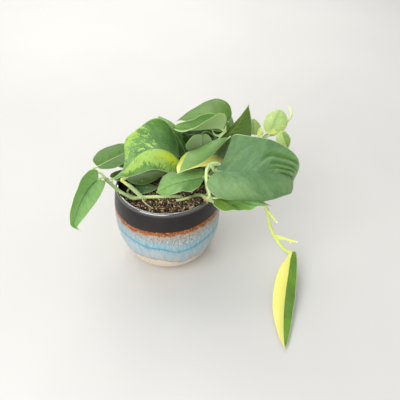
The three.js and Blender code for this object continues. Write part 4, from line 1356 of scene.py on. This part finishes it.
def geometry_tree(name, numbers, material):
    """A Geometry Nodes tree with named number inputs, and the wires that they give."""
    group = bpy.data.node_groups.new(name, "GeometryNodeTree")
    tree = Tree(group)
    group.interface.new_socket("Geometry", in_out="INPUT", socket_type="NodeSocketGeometry")
    for label, value in numbers.items():
        kind = "NodeSocketInt" if isinstance(value, int) else "NodeSocketFloat"
        group.interface.new_socket(label, in_out="INPUT", socket_type=kind)
    group.interface.new_socket("Geometry", in_out="OUTPUT", socket_type="NodeSocketGeometry")
    start = tree.add("NodeGroupInput", output=None)
    wires = {socket.name: Wire(tree, socket) for socket in start.outputs if socket.name}

    def end(geometry, smooth):
        """Ends the tree with plain faces in the material."""
        for kind, setting in (
            ("GeometryNodeSetShadeSmooth", {"Shade Smooth": smooth}),
            ("GeometryNodeRealizeInstances", {}),
            ("GeometryNodeSetMaterial", {"Material": material}),
        ):
            geometry = tree.add(kind, {}, {"Geometry": geometry, **setting})
        tree.add("NodeGroupOutput", {}, {"Geometry": geometry}, None)

    return group, tree, wires, end


def made_by(obj, group, numbers, name):
    """Runs the tree on the object, and gives the result as a plain mesh object."""
    modifier = obj.modifiers.new(group.name, "NODES")
    modifier.node_group = group
    for item in group.interface.items_tree:
        if item.in_out == "INPUT" and item.name in numbers:
            modifier[item.identifier] = numbers[item.name]
    evaluated = obj.evaluated_get(bpy.context.evaluated_depsgraph_get())
    mesh = bpy.data.meshes.new_from_object(evaluated)
    mesh.name = name
    bpy.data.objects.remove(obj)
    return show(name, mesh)


def chance(tree, low, high, seed):
    """A random number, or a random place between two corners."""
    kind, first, output = ("FLOAT_VECTOR", 0, 0) if isinstance(low, tuple) else ("FLOAT", 2, 1)
    return tree.add("FunctionNodeRandomValue", {"data_type": kind}, {
        first: low, first + 1: high, "Seed": seed,
    }, output)


def chip(tree):
    """A flat angular chip of bark, one long."""
    bit = tree.add("GeometryNodeMeshIcoSphere", {}, {"Radius": 1.0, "Subdivisions": 1})
    jolt = tree.scaled(chance(tree, (-1, -1, -1), (1, 1, 1), CHIP_SEED), CHIP_JOLT)
    bit = tree.add("GeometryNodeSetPosition", {}, {"Geometry": bit, "Offset": jolt})
    return tree.add("GeometryNodeTransform", {}, {"Geometry": bit, "Scale": CHIP_HALVES})


def thread(tree):
    """A bent thread of fibre, one long."""
    start, middle, end = FIBRE_BEND
    arc = tree.add("GeometryNodeCurveQuadraticBezier", {}, {
        "Resolution": FIBRE_STEPS, "Start": start, "Middle": middle, "End": end,
    })
    ring = tree.add("GeometryNodeCurvePrimitiveCircle", {}, {
        "Resolution": FIBRE_SIDES, "Radius": FIBRE_RADIUS,
    })
    return tree.add("GeometryNodeCurveToMesh", {}, {
        "Curve": arc, "Profile Curve": ring, "Fill Caps": True,
    })


def strewn(name, make_bit, material, numbers):
    """Bits strewn over the soil's open top."""
    top = soil_top()[:-SOIL_CLEAR_RINGS]
    points = np.vstack([top.reshape(-1, 3), [[0, 0, soil_height(0, 0)]]])
    faces = rings_joined(len(top), SOIL_SIDES, len(points) - 1, from_top=True)
    ground = solid(name + "_ground", points, faces, material)
    group, tree, wires, end = geometry_tree(name, numbers, material)
    spread = tree.add("GeometryNodeDistributePointsOnFaces", {"distribute_method": "RANDOM"}, {
        "Mesh": wires["Geometry"], "Density": wires["Density"], "Seed": wires["Seed"],
    })
    lie = Wire(tree, spread.socket.node.outputs["Rotation"])
    tilt = chance(tree, (-BIT_TILT, -BIT_TILT, 0), (BIT_TILT, BIT_TILT, TURN), wires["Seed"])
    bits = tree.add("GeometryNodeInstanceOnPoints", {}, {
        "Points": spread, "Instance": make_bit(tree),
        "Rotation": tree.add("FunctionNodeRotateRotation", {"rotation_space": "LOCAL"}, {
            "Rotation": lie, "Rotate By": tilt,
        }),
        "Scale": chance(tree, wires["Shortest"], wires["Longest"], wires["Seed"]),
    })
    bits = tree.add("GeometryNodeStoreNamedAttribute", {"data_type": "FLOAT", "domain": "INSTANCE"}, {
        "Geometry": bits, "Name": "lot", "Value": chance(tree, 0.0, 1.0, LOT_SEED),
    })
    end(bits, make_bit is thread)
    return made_by(ground, group, numbers, name)


# Stems


def stem_finish():
    """Green stem: yellow-green streaks, paler when young, brown round the joints, white where cut."""
    f = Finish("green_stem")
    place = f.place()
    joint, cut, age, wood, run = f.readings("joint", "cut", "age", "wood", "run")
    streak = f.cloud(f.upright(place, 1, 0.35), 0.9, 3, 0.6)
    blush = f.cloud(place, 0.12, 2, 0.5)
    colour = f.ramp(
        age + (streak - 0.5) * 0.5 + (blush - 0.5) * 0.3,
        (0.1, "65804a"), (0.4, "90a868"), (0.66, "c6da96"), (0.95, "dfe77c"))
    dash = f.dots(place, 0.55, 0.1, 0.2) * 0.35
    ring = f.band(f.maths("PINGPONG", run, RING_GAP / 2), -1, 0.35, 0.25) * 0.18
    scar = joint * f.rise(streak, 0.4, 0.62) * (1 - f.rise(age, 0.6, 0.9) * 0.85)
    dead = f.ramp(streak, (0.3, "a88c66"), (0.55, "d6c6a2"), (0.8, "ece2c8"))
    colour = f.layered(
        colour, (dash * 0.7, "dfe4a0"), (ring, "6f7a3a"), (scar * 0.75, "8a6a3c"), (wood, dead),
        (cut, "eef0dc"))
    height = streak * 0.6 + dash * 0.4 + scar * 0.5
    return f.close(colour, 0.45 + joint * 0.15 + wood * 0.3, height, 0.15, IOR=1.42)


def near(places, spots, reach):
    """How near each place is to the closest of the spots, 1 on it and 0 far off."""
    gaps = np.linalg.norm(places[:, None] - np.array(spots, float)[None], axis=-1).min(1)
    return np.exp(-(gaps / reach) ** 2)


def stem_line(row, joints):
    """One stem's places, thickness and readings, from its row in the table."""
    points = [np.array(p, float) for p in row["points"]]
    if row["leaf"]:
        length = LEAVES[row["leaf"]]["length"]
        stations = midrib(leaf_form(row["leaf"]))
        base, ahead, up = (column[0] for column in stations[1:])
        points += [base - ahead * row["run"], base - ahead * STALK_SEAT[0] - up * STALK_SEAT[1]]
    path = even_path(points, STEM_STEP)
    run = np.concatenate([[0], np.cumsum(np.linalg.norm(np.diff(path, axis=0), axis=1))])
    left = run[-1] - run
    done = run / run[-1]
    joint = near(path, joints, JOINT_REACH)
    radius = row["radius"] * (1 + JOINT_SWELL * joint)
    age = np.interp(done, np.linspace(0, 1, len(row["pale"])), row["pale"])
    readings = {"run": run, "joint": joint, "cut": 0 * run, "wood": 0 * run, "age": age}
    if row["leaf"]:
        radius *= 1 + KNEE["swell"] * np.exp(-((left - KNEE["place"]) / KNEE["half"]) ** 2)
        small = np.clip(length / FULL_LEAF, THINNEST, 1)
        tip = radius[-1] * small
        radius *= 1 - (1 - small) * np.exp(-left / TAPER_LENGTH)
        readings["age"] = age + LEAF_PALE * np.exp(-left / PALE_LENGTH)
        tail = np.linspace(0, 1, TAIL_STEPS + 1)[1:]
        on, rise = (along_line(tail * TAIL_REACH * length, stations[0], stations[k]) for k in (1, 3))
        path = np.vstack([path, on - rise * (TAIL_DEPTH + TAIL_SINK * tail)[:, None]])
        radius = np.concatenate([radius, tip * (1 - TAIL_SHRINK * tail)])
        readings = {
            key: np.concatenate([values, np.full(TAIL_STEPS, values[-1])])
            for key, values in readings.items()
        }
    if row["end"] == "root":
        radius = radius * (ROOT_END["thick"] - ROOT_END["loss"] * done ** ROOT_END["bow"])
        readings["wood"] = ROOT_END["wood"] + ROOT_END["more_wood"] * done
        readings["age"] = age + ROOT_END["paler"]
    if row["end"] == "bud":
        radius = radius * np.clip(left / BUD_END["length"], BUD_END["tip"], 1) ** BUD_END["bow"]
        readings["age"] = age + BUD_END["paler"] * np.exp(-left / BUD_END["reach"])
    if row["end"] == "cut":
        readings["cut"] = np.clip(1 - (left - CUT_END["face"]) / CUT_END["edge"], 0, 1)
        behind = (left - CUT_END["back"]) / CUT_END["reach"]
        readings["wood"] = CUT_END["wood"] * np.exp(-behind ** 2)
        readings["age"] = age + CUT_END["paler"]
    return path, radius, readings


def stems_of(name, finish):
    """All the stems of one shoot, swept round along their lines by Geometry Nodes."""
    points, edges, marks = [], [], {}
    for row in SHOOTS[name]["stems"]:
        path, radius, readings = stem_line(row, SHOOTS[name]["nodes"])
        first = len(points)
        points += list(path)
        edges += [(first + i, first + i + 1) for i in range(len(path) - 1)]
        for key, values in {**readings, "girth": radius}.items():
            marks.setdefault(key, []).extend(values)
    lines = show(name + "_lines", new_mesh(name + "_lines", points, edges, [], marks))
    numbers = {"Sides": STEM_SIDES}
    group, tree, wires, end = geometry_tree("sweep_" + name, numbers, finish)
    line = tree.add("GeometryNodeMeshToCurve", {}, {"Mesh": wires["Geometry"]})
    girth = tree.add("GeometryNodeInputNamedAttribute", {"data_type": "FLOAT"}, {"Name": "girth"})
    ring = tree.add("GeometryNodeCurvePrimitiveCircle", {}, {"Resolution": wires["Sides"], "Radius": MM})
    swept = tree.add("GeometryNodeCurveToMesh", {}, {
        "Curve": line, "Profile Curve": ring, "Scale": girth, "Fill Caps": True,
    })
    end(swept, True)
    return made_by(lines, group, numbers, name.replace("vine", "stems").replace("shoot", "stems"))


# Sheaths and bracts


def sheath_finish():
    """Thin pale sheath with cream edges: papery and brown where dry, and painted the dark green of deep
    shade where below 0.
    """
    f = Finish("thin_sheath")
    inset, dry = f.readings("inset", "dry")
    streak = f.cloud(f.upright(f.place(), 1, 0.4), 1.1, 3, 0.6)
    colour = f.ramp(streak, (0.32, "86a65e"), (0.5, "a6c27c"), (0.68, "c0d49a"))
    paper = f.ramp(streak, (0.35, "5f472b"), (0.5, "98794f"), (0.66, "d2bd92"))
    colour = f.layered(
        colour, ((1 - f.rise(inset, 0.25, 0.9)) * 0.8, "dfe8b8"), (f.above(dry), paper),
        # Below 0 the strip is painted the dark green of deep shade.
        (f.above(dry * -1), "33501f"))
    return f.close(colour, 0.5 + dry * 0.3, streak, 0.12, IOR=1.42)


def sheath_piece(name, finish):
    """One strip, swept along its line and bowed across."""
    row = SHEATHS[name]
    line = even_path(row["points"], SHEATH_STEP)
    knots = [int(np.linalg.norm(line - np.array(p), axis=1).argmin()) for p in row["points"]]
    picked = np.linspace(0, len(line) - 1, SHEATH_ROWS + 1)
    half = np.interp(picked, knots, row["halves"])[:, None]
    line = along_line(picked, np.arange(len(line)), line)
    ahead = np.gradient(line, axis=0)
    ahead /= np.linalg.norm(ahead, axis=1, keepdims=True)
    side = np.cross(ahead, np.array(row["facing"], float))
    side /= np.linalg.norm(side, axis=1, keepdims=True)
    up = np.cross(side, ahead)
    v = np.linspace(-1, 1, SHEATH_COLUMNS + 1)
    off = half * v
    inset = half - np.abs(off)
    sink = row["bow"] * v ** 2 * np.clip(half, 0, 1)
    middle = line[:, None] + side[:, None] * off[..., None] - up[:, None] * sink[..., None]
    thick = SHEATH_THICKNESS * np.clip(inset + SHEATH_EDGE, SHEATH_EDGE, 1)
    stand = up[:, None] * (thick / 2)[..., None]
    readings = {"inset": inset, "dry": row["dry"] + 0 * off}
    return two_sheets(name, middle + stand, middle - stand, readings, {}, finish)


# Build

potting_mix = soil_finish("potting_mix", "120d09", "483828", "8f7859", 0.5, 0.5, in_bits=False)
bark = soil_finish("bark_chips", "19110b", "765b3e", "d6bf95", 0.8, 0.15, in_bits=True)
fibre = soil_finish("coir_fibre", "3d2d1c", "b29468", "f4e6c2", 0.6, 0.15, in_bits=True)
green_stem = stem_finish()
thin_sheath = sheath_finish()
leaf_finishes = {kind: leaf_finish(kind) for kind in PALETTES}

keep(pot_piece(), "glaze", "pot")
keep(soil_piece(potting_mix), "soil", "soil")
keep(strewn("bark_chips", chip, bark, CHIPS), "soil")
keep(strewn("coir_fibres", thread, fibre, FIBRES), "soil")
for shoot_name in SHOOTS:
    keep(stems_of(shoot_name, green_stem), "stem", shoot_name)
for sheath_name in SHEATHS:
    keep(sheath_piece(sheath_name, thin_sheath), "stem")
for leaf_name, leaf_look in LOOKS.items():
    leaf_kind = leaf_look.get("kind", "green")
    leaf_slot = "young_leaf" if leaf_kind == "young" else "leaf"
    keep(blade_piece(leaf_name, leaf_finishes[leaf_kind]), leaf_slot, leaf_name)


# Stage

floor_finish = Finish("pale_floor")
floor_cloud = floor_finish.cloud(floor_finish.place(), 0.004, 2)
floor_tone = floor_finish.ramp(floor_cloud, (0.3, "c9c7c3"), (0.7, "cdcbc7"))
floor_corners = [(x * FLOOR_REACH, y * FLOOR_REACH, 0) for x, y in ((-1, -1), (1, -1), (1, 1), (-1, 1))]
floor = solid("floor", floor_corners, [[0, 1, 2, 3]], floor_finish.close(floor_tone, 0.9))

scene = bpy.context.scene
world = bpy.data.worlds.new("studio")
scene.world = world
world.use_nodes = True
sky = world.node_tree.nodes["Background"]
sky.inputs["Color"].default_value = SKY_TINT
sky.inputs["Strength"].default_value = SKY_STRENGTH

for lamp_name, lamp_place, lamp_size, lamp_power, lamp_tint in LAMPS:
    lamp_data = bpy.data.lights.new(lamp_name, "AREA")
    lamp_data.size = lamp_size
    lamp_data.energy = lamp_power
    lamp_data.color = lamp_tint
    lamp = show(lamp_name, lamp_data)
    lamp.location = lamp_place
    way = np.array(LAMP_TARGET) - np.array(lamp_place)
    lean = math.acos(-way[2] / np.linalg.norm(way))
    lamp.rotation_euler = (lean, 0, math.atan2(way[1], way[0]) - math.pi / 2)

camera_data = bpy.data.cameras.new("camera")
camera_data.lens = LENS
camera_data.sensor_width = SENSOR
camera = show("camera", camera_data)
camera.location = CAMERA_PLACE
camera.rotation_euler = (math.radians(90 - CAMERA_PITCH), 0, 0)
scene.camera = camera
scene.view_settings.view_transform = "Standard"
